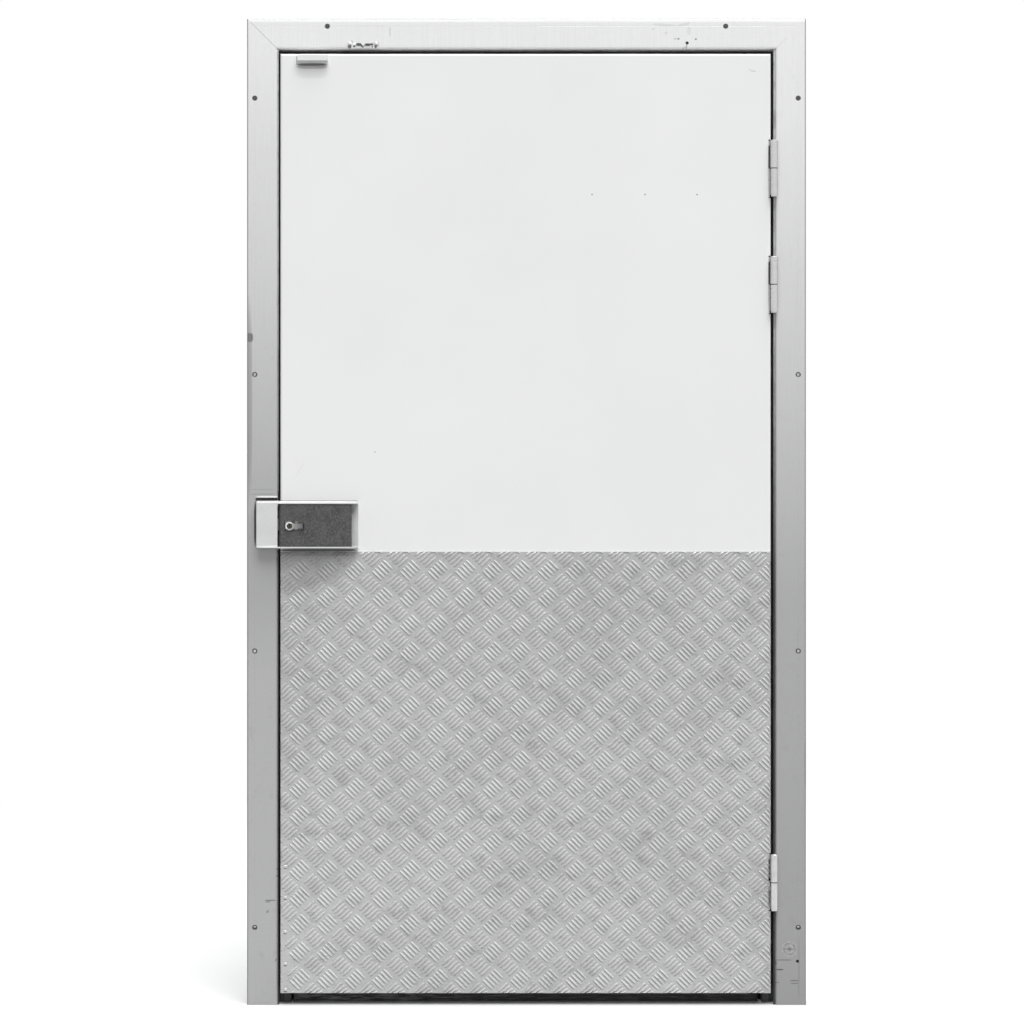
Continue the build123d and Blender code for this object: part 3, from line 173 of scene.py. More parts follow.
class Finish:
    """One procedural material: adds shader nodes by short calls and links them."""

    def __init__(self, name, metallic=0.0, roughness=0.5, specular=0.5, coat=0.0, coat_roughness=0.2):
        self.material = bpy.data.materials.new(name)
        self.material.use_nodes = True
        self.nodes = self.material.node_tree.nodes
        self.links = self.material.node_tree.links
        self.nodes.clear()
        output = self.nodes.new("ShaderNodeOutputMaterial")
        self.shader = self.nodes.new("ShaderNodeBsdfPrincipled")
        self.links.new(self.shader.outputs["BSDF"], output.inputs["Surface"])
        self.shader.inputs["Metallic"].default_value = metallic
        self.shader.inputs["Roughness"].default_value = roughness
        self.shader.inputs["Specular IOR Level"].default_value = specular
        self.shader.inputs["Coat Weight"].default_value = coat
        self.shader.inputs["Coat Roughness"].default_value = coat_roughness
        self.coordinates = self.nodes.new("ShaderNodeTexCoord")
        self.place = self.coordinates.outputs["Object"]
        self.axes = None
        self.tilt = None
        self.base = None

    def put(self, socket, value):
        """Links a socket or sets a plain value."""
        if isinstance(value, bpy.types.NodeSocket):
            self.links.new(value, socket)
        elif isinstance(value, (tuple, list)) and len(value) == 3 and len(socket.default_value) == 4:
            socket.default_value = (*value, 1.0)
        else:
            socket.default_value = value

    def math(self, operation, a, b=0.0, c=0.0):
        node = self.nodes.new("ShaderNodeMath")
        node.operation = operation
        for socket, value in zip(node.inputs, (a, b, c)):
            self.put(socket, value)
        return node.outputs[0]

    def times(self, a, b):
        return self.math("MULTIPLY", a, b)

    def sum_of(self, a, share_a, b, share_b):
        """Two values, each multiplied by its own share, and added."""
        return self.math("ADD", self.times(a, share_a), self.times(b, share_b))

    def axis(self, letter):
        """The place along one axis of the row frame, in metres."""
        if self.axes is None:
            self.axes = self.nodes.new("ShaderNodeSeparateXYZ")
            self.links.new(self.place, self.axes.inputs[0])
        return self.axes.outputs[letter]

    def past(self, letter, start):
        """How far the place lies beyond a start along one axis."""
        return self.math("SUBTRACT", self.axis(letter), start)

    def stretched(self, scale, turn=(0.0, 0.0, 0.0)):
        """The place with each axis multiplied by its own scale, for grain and brushing."""
        node = self.nodes.new("ShaderNodeMapping")
        node.inputs["Scale"].default_value = scale
        node.inputs["Rotation"].default_value = turn
        self.put(node.inputs["Vector"], self.place)
        return node.outputs[0]

    def noise(self, scale, detail=3.0, roughness=0.5, place=None, distortion=0.0):
        node = self.nodes.new("ShaderNodeTexNoise")
        self.put(node.inputs["Vector"], place or self.place)
        node.inputs["Scale"].default_value = scale
        node.inputs["Detail"].default_value = detail
        node.inputs["Roughness"].default_value = roughness
        node.inputs["Distortion"].default_value = distortion
        return node.outputs["Fac"]

    def cells(self, scale):
        node = self.nodes.new("ShaderNodeTexVoronoi")
        self.put(node.inputs["Vector"], self.place)
        node.inputs["Scale"].default_value = scale
        return node.outputs["Distance"]

    def spread(self, value, low, high, to_low=0.0, to_high=1.0):
        """Maps low..high to to_low..to_high with soft ends."""
        node = self.nodes.new("ShaderNodeMapRange")
        node.interpolation_type = "SMOOTHSTEP"
        for name, number in (("From Min", low), ("From Max", high), ("To Min", to_low), ("To Max", to_high)):
            node.inputs[name].default_value = number
        self.put(node.inputs["Value"], value)
        return node.outputs[0]

    def mix(self, factor, first, second):
        node = self.nodes.new("ShaderNodeMix")
        node.data_type = "RGBA"
        self.put(node.inputs["Factor"], factor)
        self.put(node.inputs[6], first)
        self.put(node.inputs[7], second)
        return node.outputs[2]

    def spot(self, x, z, half_length, half_width, angle=0.0, soft=0.4):
        """A factor that is 1 inside a rounded patch on the door's front and falls off at its rim."""
        along_x, along_z = self.past("X", x), self.past("Z", z)
        cos, sin = math.cos(math.radians(angle)), math.sin(math.radians(angle))
        run = self.sum_of(along_x, cos / half_length, along_z, sin / half_length)
        side = self.sum_of(along_x, -sin / half_width, along_z, cos / half_width)
        cubes = [self.math("POWER", self.math("ABSOLUTE", way), 3.0) for way in (run, side)]
        return self.spread(self.math("ADD", *cubes), 1.0 - soft, 1.0 + soft, 1.0, 0.0)

    def ramp(self, value, stops):
        """Grey levels at given values, blended in straight lines between them."""
        node = self.nodes.new("ShaderNodeValToRGB")
        low, high = stops[0][0], stops[-1][0]
        self.put(node.inputs[0], self.math("DIVIDE", self.math("SUBTRACT", value, low), high - low))
        band = node.color_ramp.elements
        while len(band) < len(stops):
            band.new(0.5)
        for stop, (at, level) in zip(band, stops):
            stop.position = (at - low) / (high - low)
            stop.color = (*grey(level), 1.0)
        return node.outputs[0]

    def near(self, x, z, inner, outer):
        """A factor that is 1 within the inner radius of a place on the front and 0 beyond the outer one."""
        away = self.sum_of(x, x, z, z)
        return self.spread(away, inner * inner, outer * outer, 1.0, 0.0)

    def lay(self, factor, colour):
        """Lays a colour, or a grey level, over the finish by a factor."""
        self.base = self.mix(factor, self.base, grey(colour) if isinstance(colour, float) else colour)

    def marks(self, list_of_marks):
        """Lays small marks, painted shade and highlights among them, on the front only: each is a grey level,
        a strength and the sizes of a spot.
        """
        if not list_of_marks:
            return
        front = self.math("LESS_THAN", self.axis("Y"), MARKS_REACH)
        for level, strength, *sizes in list_of_marks:
            self.lay(self.times(self.times(self.spot(*sizes), front), strength), level)

    def round_fixings(self, inner, outer):
        """A factor that is 1 round the axis of each fixing screw and 0 beyond the outer radius."""
        row = self.math("WRAP", self.past("Z", FIXING_FIRST_Z), FIXING_PITCH / 2, -FIXING_PITCH / 2)
        across = self.math("ABSOLUTE", self.axis("X"))
        jamb = self.near(self.math("SUBTRACT", across, FIXING_X), row, inner, outer)
        head_x = self.math("SUBTRACT", across, HEAD_FIXING_X)
        head = self.near(head_x, self.past("Z", HEAD_FIXING_Z), inner, outer)
        return self.math("MAXIMUM", jamb, head)

    def bump(self, height, distance, strength=1.0, previous=None):
        node = self.nodes.new("ShaderNodeBump")
        node.inputs["Strength"].default_value = strength
        node.inputs["Distance"].default_value = distance
        self.put(node.inputs["Height"], height)
        if previous is not None:
            self.put(node.inputs["Normal"], previous)
        return node.outputs[0]

    def rim(self, x, z, radius, width):
        """A factor that is 1 on a circle of a given line width."""
        outer = self.near(x, z, radius + width / 2, radius + width)
        return self.math("SUBTRACT", outer, self.near(x, z, radius - width, radius - width / 2))

    def facing(self, letter):
        """How far the surface faces along one axis of the row frame."""
        if self.tilt is None:
            self.tilt = self.nodes.new("ShaderNodeSeparateXYZ")
            self.links.new(self.coordinates.outputs["Normal"], self.tilt.inputs[0])
        return self.tilt.outputs[letter]

    def underside(self, strength, start=-0.1, full=-0.55):
        """A factor that grows where a surface turns downwards, for painted shade."""
        return self.spread(self.facing("Z"), start, full, 0.0, strength)

    def done(self, rough, normal):
        """Links the colour laid so far, the roughness and the normal to the shader."""
        for socket, value in (("Base Color", self.base), ("Roughness", rough), ("Normal", normal)):
            self.put(self.shader.inputs[socket], value)
        return self.material


def photo_x(pixel):
    """The place across the door's front of a column in the photograph."""
    return (pixel - PIXEL_OF_X_ZERO) * MM_PER_PIXEL * MM


def photo_z(pixel):
    """The height on the door's front of a row in the photograph."""
    return (PIXEL_OF_FLOOR - pixel) * MM_PER_PIXEL * MM


def pixels(level, strength, x, z, half_length, half_width, angle=0, soft=0.6):
    """A mark given by its place and size in the photograph's pixels, turned anticlockwise."""
    step = MM_PER_PIXEL * MM
    return (level, strength, photo_x(x), photo_z(z), half_length * step, half_width * step, angle, soft)


# How pale the jambs and their beads are at each height, darker downwards: on the jambs partly handling and
# floor dirt and partly a painted reflection of the darker ground, on the beads painted light
LEFT_JAMB_SOIL_AND_REFLECTION = (
    (0.0, 0.41), (0.14, 0.43), (0.49, 0.43), (0.70, 0.43), (0.86, 0.385), (1.12, 0.42), (1.39, 0.53),
    (1.59, 0.62), (1.82, 0.69), (2.05, 0.79),
)
RIGHT_JAMB_SOIL_AND_REFLECTION = (
    (0.0, 0.31), (0.08, 0.325), (0.5, 0.37), (0.86, 0.385), (1.39, 0.575), (1.88, 0.76), (2.05, 0.79),
)
BEAD_PAINTED_LIGHT = ((0.0, 0.015), (0.9, 0.02), (1.25, 0.25), (1.6, 0.42), (2.05, 0.50))

# Small marks: grey level, strength, place, half sizes, turn and softness
# The torn switch base: the bright dabs are painted highlights on its broken relief, the dark strokes painted
# shade in its torn-out cavities
SWITCH_MARKS_LIGHT_AND_SHADE = (
    pixels(0.95, 0.80, 350.4, 43.9, 1.7, 1.3),
    pixels(0.06, 0.85, 349.6, 47.0, 1.9, 1.4),
    pixels(0.95, 0.70, 354.5, 44.0, 1.4, 1.0),
    pixels(0.05, 0.90, 354.2, 46.6, 1.1, 1.1),
    pixels(0.03, 0.92, 358.7, 44.3, 2.7, 1.2),
    pixels(0.05, 0.90, 362.0, 46.2, 2.3, 0.9, -50),
    pixels(0.03, 0.92, 369.2, 44.6, 4.3, 1.1),
    pixels(0.07, 0.80, 372.3, 46.7, 1.3, 0.6, 90),
    pixels(0.95, 0.75, 376.2, 44.7, 1.1, 0.9),
    pixels(0.05, 0.88, 375.7, 46.9, 1.1, 1.4),
    pixels(0.35, 0.50, 352.2, 41.5, 1.0, 1.4, 60),
    pixels(0.35, 0.45, 374.5, 42.6, 2.0, 0.6),
)
FRAME_MARKS_AND_SHADOWS = (
    pixels(0.95, 0.85, 268.8, 496.7, 12.2, 0.9),
    pixels(0.28, 0.45, 390, 31.5, 4.5, 0.55, 88),
    pixels(0.10, 0.80, 277.3, 869, 0.8, 0.7),
    pixels(0.10, 0.70, 277.0, 876, 0.9, 0.7),
    pixels(0.12, 0.75, 270.5, 900.3, 5.5, 0.6, 0),
    pixels(0.16, 0.55, 268.0, 901.5, 2.6, 1.2, 0),
    pixels(0.16, 0.60, 267.6, 911.5, 1.6, 1.1, 60),
    pixels(0.14, 0.60, 275.8, 960, 1.6, 0.8, 60),
    pixels(0.05, 0.75, 250.0, 337.5, 3.0, 4.5, 0),
    pixels(0.18, 0.50, 247.5, 400, 90, 4.5, 90, 0.8),
    pixels(0.20, 0.35, 262.0, 494.2, 12, 0.7, 0),
    pixels(0.22, 0.30, 262.0, 489.5, 12, 0.6, 0),
    pixels(0.10, 0.60, 783.7, 960, 8, 0.6),
    pixels(0.05, 0.80, 779.6, 969.6, 3.8, 0.7),
    pixels(0.10, 0.60, 794.5, 980.6, 4.5, 0.7),
    pixels(0.10, 0.55, 794.5, 983.4, 4.0, 0.6),
    pixels(0.10, 0.60, 777.0, 982.5, 2.5, 0.6),
    pixels(0.08, 0.55, 776.0, 963, 2.0, 0.8, 90),
    pixels(0.12, 0.30, 799.0, 968, 30, 0.5, 90),
    pixels(0.10, 0.55, 788.5, 949.0, 5.5, 0.6),
    pixels(0.08, 0.55, 789.6, 949.2, 1.2, 1.6),
    pixels(0.10, 0.50, 794.0, 945.6, 0.8, 0.8),
    pixels(0.85, 0.80, 774.5, 130, 1.8, 1.0, 30),
    pixels(0.12, 0.75, 678.5, 38.8, 1.0, 0.9),
    pixels(0.30, 0.50, 675.5, 38.8, 2.2, 0.6),
    pixels(0.12, 0.75, 695.8, 39.2, 1.0, 0.9),
    pixels(0.25, 0.60, 686.4, 46.6, 2.2, 0.7, 80),
    pixels(0.30, 0.40, 683.5, 48.0, 1.6, 0.7, 40),
    pixels(0.40, 0.28, 665, 25, 12, 1.1, -4),
    pixels(0.40, 0.28, 684, 24.5, 6, 1.4, 12),
    pixels(0.40, 0.25, 666, 33, 1.8, 1.4, 30),
    pixels(0.40, 0.25, 653, 29, 1.6, 1.2),
    pixels(0.45, 0.25, 689, 31, 2.0, 4.0, 0, 0.8),
    pixels(0.06, 0.45, 805.5, 765, 22, 0.9, 90),
    # Painted shadow cast by the lock's nose on the jamb, to its left
    pixels(0.02, 0.92, 255.4, 523.5, 21.5, 1.3, 90),
    # Painted shade in the gap above the lock's nose
    pixels(0.01, 0.85, 268.5, 499.0, 12.8, 1.2),
)
LEAF_MARKS_AND_SHADOWS = (
    pixels(0.30, 0.35, 753.0, 71.2, 3.0, 0.7, -8),
    pixels(0.35, 0.25, 749.5, 69.5, 0.8, 0.8),
    pixels(0.25, 0.55, 375.0, 452.0, 0.8, 0.7),
    pixels(0.45, 0.14, 300.0, 470.0, 9.0, 0.5, 60),
    # Painted shadow under the contact magnet, and painted shade at its left side
    pixels(0.50, 0.35, 312.0, 70.0, 15.0, 8.0, 0, 1.0),
    pixels(0.25, 0.50, 312.0, 66.6, 14.8, 2.4),
    pixels(0.03, 0.75, 312.0, 64.6, 14.8, 1.3),
    pixels(0.10, 0.50, 296.9, 60.5, 4.5, 0.7, 90),
    # Painted shadow under the lock
    pixels(0.02, 0.90, 318.0, 550.0, 38.0, 1.5, 0, 0.2),
    # Painted shade beside the barrels of the upper two hinges
    pixels(0.04, 0.70, 769.2, 284.9, 28.0, 1.1, 90),
    pixels(0.04, 0.70, 769.2, 168.9, 28.0, 1.1, 90),
)
# Painted highlights along the lock housing's bottom and top rims
HOUSING_HIGHLIGHTS = (
    pixels(0.97, 0.90, 308.0, 546.6, 52.0, 1.3),
    pixels(0.97, 0.60, 308.0, 500.8, 52.0, 1.3),
)
# Painted shadows on the tread plate: under the lock, a wider patch below it with grime, and beside the bottom
# hinge's barrel
TREAD_SHADOWS_AND_GRIME = (
    pixels(0.08, 0.45, 318.0, 552.6, 38.0, 3.4, 0, 0.8),
    pixels(0.14, 0.36, 308.0, 565.0, 36.0, 24.0, 20, 1.0),
    pixels(0.06, 0.60, 769.2, 882.0, 28.0, 1.1, 90),
)

# The round scuff low on the right jamb: its middle in the photograph's pixels, and its circles
SCUFF_X = 789.5
SCUFF_Z = 949.0
SCUFF_RADIUS = 12.5 * MM
SCUFF_LINE = 2.2 * MM
SCUFF_CIRCLES = ((SCUFF_RADIUS, 0.10), (SCUFF_RADIUS + SCUFF_LINE, 0.55), (SCUFF_RADIUS * 0.6, 0.52))


def lay_mitres(f):
    """The mitre joints: a dark line on the left, a faint one on the inner half of the right."""
    drop = f.math("SUBTRACT", FRAME_TOP, f.axis("Z"))
    for side, strength, start in ((-1, 0.42, 0.0), (1, 0.2, MITRE_START)):
        inset = f.math("SUBTRACT", HALF_FRAME, f.times(f.axis("X"), side))
        off = f.math("ABSOLUTE", f.math("SUBTRACT", inset, drop))
        line = f.times(f.spread(off, *MITRE_FADE, strength, 0.0), f.spread(drop, start, start + MITRE_RUN))
        f.lay(f.times(line, f.math("LESS_THAN", drop, FRAME_FACE)), 0.12)


def lay_scuff(f):
    """Broken circles that something round has rubbed into the right jamb."""
    from_x, from_z = f.past("X", photo_x(SCUFF_X)), f.past("Z", photo_z(SCUFF_Z))
    broken = f.spread(f.noise(180, 3), 0.40, 0.62, 0.0, 0.5)
    for radius, level in SCUFF_CIRCLES:
        f.lay(f.times(f.rim(from_x, from_z, radius, SCUFF_LINE), broken), level)


def anodised_frame():
    """Satin anodised extrusion, darker towards the floor with dirt and a painted reflection of the ground,
    with marks where it was used and painted highlights and shade.
    """
    f = Finish("anodised_frame", metallic=0.3, roughness=0.42)
    draw_lines = f.noise(60, 4, 0.6, f.stretched((9, 9, 0.15)))
    cloud = f.noise(3.5, 5, 0.6)
    # Darker downwards: dirt and a painted reflection of the ground
    left, right = f.ramp(f.axis("Z"), LEFT_JAMB_SOIL_AND_REFLECTION), f.ramp(f.axis("Z"), RIGHT_JAMB_SOIL_AND_REFLECTION)
    f.base = f.mix(f.spread(f.axis("X"), -0.3, 0.3), left, right)
    f.lay(f.spread(cloud, 0.35, 0.7, 0.0, 0.08), 0.3)
    f.lay(f.spread(draw_lines, 0.3, 0.7, 0.0, 0.10), 0.35)
    low = f.spread(f.axis("Z"), 1.6, 0.3, 0.08, 0.30)
    f.lay(f.times(f.spread(f.noise(38, 6, 0.7), 0.55, 0.75), low), (0.26, 0.255, 0.245))
    f.lay(f.times(f.spread(f.noise(320, 3, 0.7), 0.40, 0.68), f.times(low, 0.5)), 0.28)

    # Painted shade with dirt round each fixing screw, dirt in the groove, painted shade along the outer edge,
    # a painted highlight along the top and painted light on the reveal walls
    f.lay(f.times(f.round_fixings(*FIXING_SHADE_AND_DIRT), 0.85), 0.03)
    edge = f.math("SUBTRACT", HALF_FRAME, f.math("ABSOLUTE", f.axis("X")))
    edge = f.math("MINIMUM", edge, f.math("SUBTRACT", FRAME_TOP, f.axis("Z")))
    groove = f.math("ABSOLUTE", f.math("SUBTRACT", edge, GROOVE_INSET))
    f.lay(f.times(f.spread(groove, *GROOVE_FADE, 0.55, 0.0), f.spread(f.facing("Z"), 0.05, 0.3)), 0.15)
    f.lay(f.spread(f.axis("Z"), *TOP_HIGHLIGHT_BAND, 0.0, 0.7), 0.97)
    f.lay(f.spread(edge, *EDGE_SHADE_FADE, 0.75, 0.0), 0.12)
    f.lay(f.spread(f.axis("Y"), *REVEAL_LIGHT_BAND, 0.0, 0.8), 0.9)
    lay_mitres(f)
    lay_scuff(f)
    f.marks(FRAME_MARKS_AND_SHADOWS + SWITCH_MARKS_LIGHT_AND_SHADE)
    fine = f.bump(draw_lines, 0.00003, 0.5)
    return f.done(f.spread(cloud, 0.3, 0.7, 0.38, 0.52), f.bump(f.noise(420, 2), 0.00002, 0.4, fine))


def coated_sheet(name, level, wear=1.0, marks=()):
    """White coated steel sheet: a faint orange peel, soft darker patches, hair scratches and specks."""
    f = Finish(name, roughness=0.35, coat=0.15, coat_roughness=0.3)
    cloud = f.noise(2.2, 4, 0.55)
    f.base = f.mix(f.spread(cloud, 0.3, 0.7, 0.0, 1.0), grey(level), grey(level * 0.97))
    hair = f.noise(70, 3, 0.6, f.stretched((1.0, 1.0, 16.0), (0.0, 0.6, 0.0)))
    f.lay(f.spread(hair, 0.70, 0.74, 0.0, 0.06 * wear), level * 0.7)
    speck = f.spread(f.cells(55), 0.02, 0.035, 0.25 * wear, 0.0)
    f.lay(f.times(speck, f.spread(f.noise(9), 0.66, 0.76)), 0.35)
    f.marks(marks)
    return f.done(f.spread(f.noise(6, 4), 0.3, 0.7, 0.30, 0.42), f.bump(f.noise(260, 2, 0.4), 0.00003, 0.35))


def tread_plate():
    """Rolled aluminium sheet, scuffed bright on its bars and dull with grime between them, with painted
    highlights and shade on the bars' sides and painted shadows from the lock and the bottom hinge.
    """
    f = Finish("tread_plate", metallic=0.25, roughness=0.45)
    cloud = f.noise(5, 5, 0.6)
    blotch = f.noise(16, 5, 0.65, f.stretched((1.0, 1.0, 1.6), (0.0, 0.7, 0.0)))
    rolled = f.noise(45, 4, 0.6, f.stretched((0.4, 1.0, 7.0)))
    f.base = f.mix(f.spread(cloud, 0.3, 0.7), grey(0.43), grey(0.50))
    f.lay(f.spread(f.axis("Z"), 0.75, 0.05, 0.0, 0.36), 0.60)
    f.lay(f.spread(blotch, 0.48, 0.70, 0.0, 0.5), 0.36)
    f.lay(f.spread(rolled, 0.35, 0.65, 0.0, 0.25), 0.36)
    rise = f.spread(f.axis("Y"), PLATE_FRONT - 0.2 * BAR_HEIGHT, PLATE_FRONT - 0.95 * BAR_HEIGHT)
    f.lay(f.times(rise, f.spread(blotch, 0.35, 0.6, 0.45, 0.1)), 0.66)
    f.lay(f.spread(f.noise(90, 4, 0.7, f.stretched((1, 1, 6), (0, -0.5, 0))), 0.62, 0.74, 0.0, 0.3), 0.62)

    # Painted highlight on the bars' sides that face up and to the right, towards the key light, and painted
    # shade on the other sides and on their undersides, varied in strength by a noise
    flank = f.sum_of(f.facing("Z"), 0.75, f.facing("X"), 0.65)
    uneven = f.spread(f.noise(9, 4, 0.6), 0.3, 0.7, 0.45, 1.0)
    f.lay(f.times(f.spread(flank, 0.06, 0.40, 0.0, 0.14), uneven), 0.90)
    f.lay(f.times(f.spread(flank, -0.06, -0.40, 0.0, 0.45), uneven), 0.12)
    f.lay(f.underside(0.35, -0.05, -0.40), 0.15)
    grit = f.noise(240, 4, 0.75, f.stretched((1.0, 1.0, 2.2), (0.0, 0.7, 0.0)))
    f.lay(f.spread(grit, 0.42, 0.68, 0.0, 0.30), 0.24)
    f.lay(f.spread(grit, 0.50, 0.32, 0.0, 0.22), 0.75)
    stain = f.spread(f.noise(70, 4, 0.7), 0.50, 0.66, 0.0, 0.32)
    f.lay(f.times(stain, f.spread(blotch, 0.46, 0.60)), 0.2)
    f.marks(TREAD_SHADOWS_AND_GRIME)
    return f.done(f.spread(cloud, 0.3, 0.7, 0.38, 0.52), f.bump(rolled, 0.00004, 0.4))


def metal(
    name, level, roughness, grain=(1.0, 1.0, 1.0), tint=(1.0, 1.0, 1.0), metallic=0.9, stain=0.3, under=0.0
):
    """Plain or plated metal with a directional grain, dull patches and painted shade on its undersides."""
    f = Finish(name, metallic=metallic, roughness=roughness)
    lines = f.noise(300, 3, 0.6, f.stretched(grain))
    patch = f.noise(40, 4, 0.6)
    f.base = tuple(min(level * t, 1.0) for t in tint)
    dull = tuple(c * 0.62 for c in f.base)
    f.lay(f.spread(patch, 0.42, 0.72, 0.0, stain), dull)
    f.lay(f.spread(lines, 0.35, 0.65, 0.0, 0.18), dull)
    # Painted shade on the faces that turn downwards
    if under:
        f.lay(f.underside(under, -0.03, -0.2), 0.03)
    return f.done(f.spread(patch, 0.3, 0.7, roughness * 0.85, roughness * 1.3), f.bump(lines, 0.00002, 0.5))


def plastic(
    name, colour, roughness=0.45, grain_scale=700, grain=0.00003, mottle=0.15, dirt=0.2, marks=(), dust=0.0
):
    """Moulded or extruded plastic with a fine grain, slight colour drift, grime, and dust on top."""
    f = Finish(name, roughness=roughness)
    drift = f.noise(30, 4, 0.6)
    f.base = f.mix(f.spread(drift, 0.3, 0.7), colour, tuple(c * (1.0 - mottle) for c in colour))
    f.lay(f.spread(f.noise(110, 5, 0.7), 0.55, 0.75, 0.0, dirt), tuple(0.5 * c + 0.03 for c in colour))
    f.marks(marks)
    if dust:
        f.lay(f.spread(f.facing("Z"), 0.5, 0.9, 0.0, dust), 0.10)
    rough = f.spread(drift, 0.3, 0.7, roughness * 0.85, roughness * 1.2)
    return f.done(rough, f.bump(f.noise(grain_scale, 2, 0.5), grain, 0.6))


def fixing_finish():
    """Domed fixing heads: a painted glint in the middle, painted shade with dirt round the rim, and black
    with dirt high up.
    """
    f = Finish("fixing_head", metallic=0.6, roughness=0.35)
    dirt = f.noise(300, 4, 0.6)
    # Painted glint on each head's middle, fading to painted shade with dirt at its rim
    f.base = f.mix(f.round_fixings(*FIXING_GLINT), grey(0.05), grey(0.62))
    f.lay(f.spread(f.axis("Z"), *FIXING_SOOT, 0.0, 0.9), 0.06)
    f.lay(f.spread(f.axis("Z"), *FIXING_DARK, 0.0, 0.92), 0.02)
    f.lay(f.spread(dirt, 0.45, 0.7, 0.0, 0.5), 0.08)
    return f.done(f.spread(f.axis("Z"), *FIXING_SOOT, 0.3, 0.7), f.bump(dirt, 0.00008, 0.6))


def paddle_finish():
    """Dark grained plastic, rubbed pale in blotches where hands pull."""
    f = Finish("paddle_finish", roughness=0.45)
    blotch = f.noise(38, 6, 0.65, distortion=0.6)
    fine = f.noise(210, 4, 0.6)
    f.base = f.mix(f.spread(blotch, 0.38, 0.66), grey(0.033), grey(0.060))
    f.lay(f.spread(fine, 0.42, 0.68, 0.0, 0.65), 0.115)
    return f.done(f.spread(blotch, 0.35, 0.65, 0.38, 0.6), f.bump(fine, 0.00012, 0.6))


def bead_finish():
    """Sealing beads, pale as painted light on the reveal walls, darker towards the floor."""
    f = Finish("bead_grey", roughness=0.6)
    drift = f.noise(40, 4, 0.6)
    f.base = f.ramp(f.axis("Z"), BEAD_PAINTED_LIGHT)
    f.lay(f.spread(drift, 0.35, 0.7, 0.0, 0.5), 0.08)
    return f.done(f.spread(drift, 0.3, 0.7, 0.5, 0.75), f.bump(f.noise(300, 2), 0.00004, 0.6))


def cylinder_finish():
    """Nickelled cylinder: a painted highlight on the rim round the plug, a body that dulls away from it, and
    painted shade underneath.
    """
    f = Finish("cylinder_nickel", metallic=0.5, roughness=0.35)
    stain = f.noise(260, 4, 0.6)
    f.base = f.ramp(f.axis("X"), CYLINDER_TONES)
    from_x, from_z = f.past("X", CYLINDER_X), f.past("Z", CYLINDER_Z)
    # Painted highlight on the rim, strongest towards its upper left
    lit = f.spread(f.math("SUBTRACT", from_z, from_x), -RIM_LIT, RIM_LIT, 0.15, 0.95)
    f.lay(f.times(f.rim(from_x, from_z, RIM_RADIUS, RIM_LINE), lit), 0.95)
    f.lay(f.spread(stain, 0.45, 0.7, 0.0, 0.5), 0.12)
    # Painted shade on the faces that turn downwards
    f.lay(f.underside(0.6), 0.05)
    return f.done(f.spread(stain, 0.3, 0.7, 0.28, 0.5), f.bump(stain, 0.00003, 0.5))


def foam():
    """Open foam, painted near black as shade where its cut edge shows beside the hinges and the lock."""
    f = Finish("foam", roughness=0.9)
    pores = f.cells(900)
    f.base = f.mix(f.spread(pores, 0.0, 0.5), (0.55, 0.47, 0.28), (0.78, 0.70, 0.46))
    # Painted shade on the foam's edge in the gaps
    side, front = f.spread(f.axis("X"), *FOAM_SHADE_X), f.spread(f.axis("Y"), *FOAM_SHADE_Y)
    f.lay(f.math("MAXIMUM", side, front), 0.03)
    return f.done(f.spread(pores, 0.0, 0.5, 0.95, 0.8), f.bump(pores, 0.0004, 0.8))


def sweep_finish():
    """Dull black rubber with dusty streaks, mostly towards its left end."""
    f = Finish("sweep_finish", roughness=0.75)
    streak = f.noise(60, 5, 0.7, f.stretched((0.35, 1.0, 6.0)))
    f.base = grey(0.040)
    f.lay(f.times(f.spread(streak, 0.44, 0.64), f.spread(f.axis("X"), 0.1, -0.5, 0.35, 1.0)), 0.34)
    return f.done(f.spread(streak, 0.3, 0.7, 0.65, 0.9), f.bump(f.noise(240, 3), 0.0001, 0.5))


def islands(node):
    """The lowest and highest corners of each separate solid in a CAD node."""
    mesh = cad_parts[node].data
    parent = list(range(len(mesh.vertices)))

    def root(i):
        while parent[i] != i:
            parent[i] = parent[parent[i]]
            i = parent[i]
        return i

    same_place = {}
    for v in mesh.vertices:
        key = tuple(round(c, 6) for c in v.co)
        first = same_place.setdefault(key, v.index)
        parent[root(v.index)] = root(first)
    for edge in mesh.edges:
        parent[root(edge.vertices[0])] = root(edge.vertices[1])
    groups = {}
    for v in mesh.vertices:
        groups.setdefault(root(v.index), []).append(v.co)
    boxes = []
    for points in groups.values():
        low = Vector([min(p[i] for p in points) for i in range(3)])
        high = Vector([max(p[i] for p in points) for i in range(3)])
        boxes.append((low, high))
    return sorted(boxes, key=lambda b: tuple(round(c, 5) for c in b[0]))


def new_piece(name, vertices, faces, body, material, smooth=True):
    """A mesh piece in the row frame that rides on a CAD body."""
    mesh = bpy.data.meshes.new(name)
    mesh.from_pydata(vertices, [], faces)
    mesh.validate()
    mesh.polygons.foreach_set("use_smooth", [smooth] * len(mesh.polygons))
    mesh.materials.append(material)
    piece = bpy.data.objects.new(name, mesh)
    bpy.context.scene.collection.objects.link(piece)
    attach(piece, body)
    return piece


def circle_points(radius, count):
    """Points round a circle, across and up."""
    turns = [2 * math.pi * i / count for i in range(count)]
    return [(radius * math.cos(turn), radius * math.sin(turn)) for turn in turns]


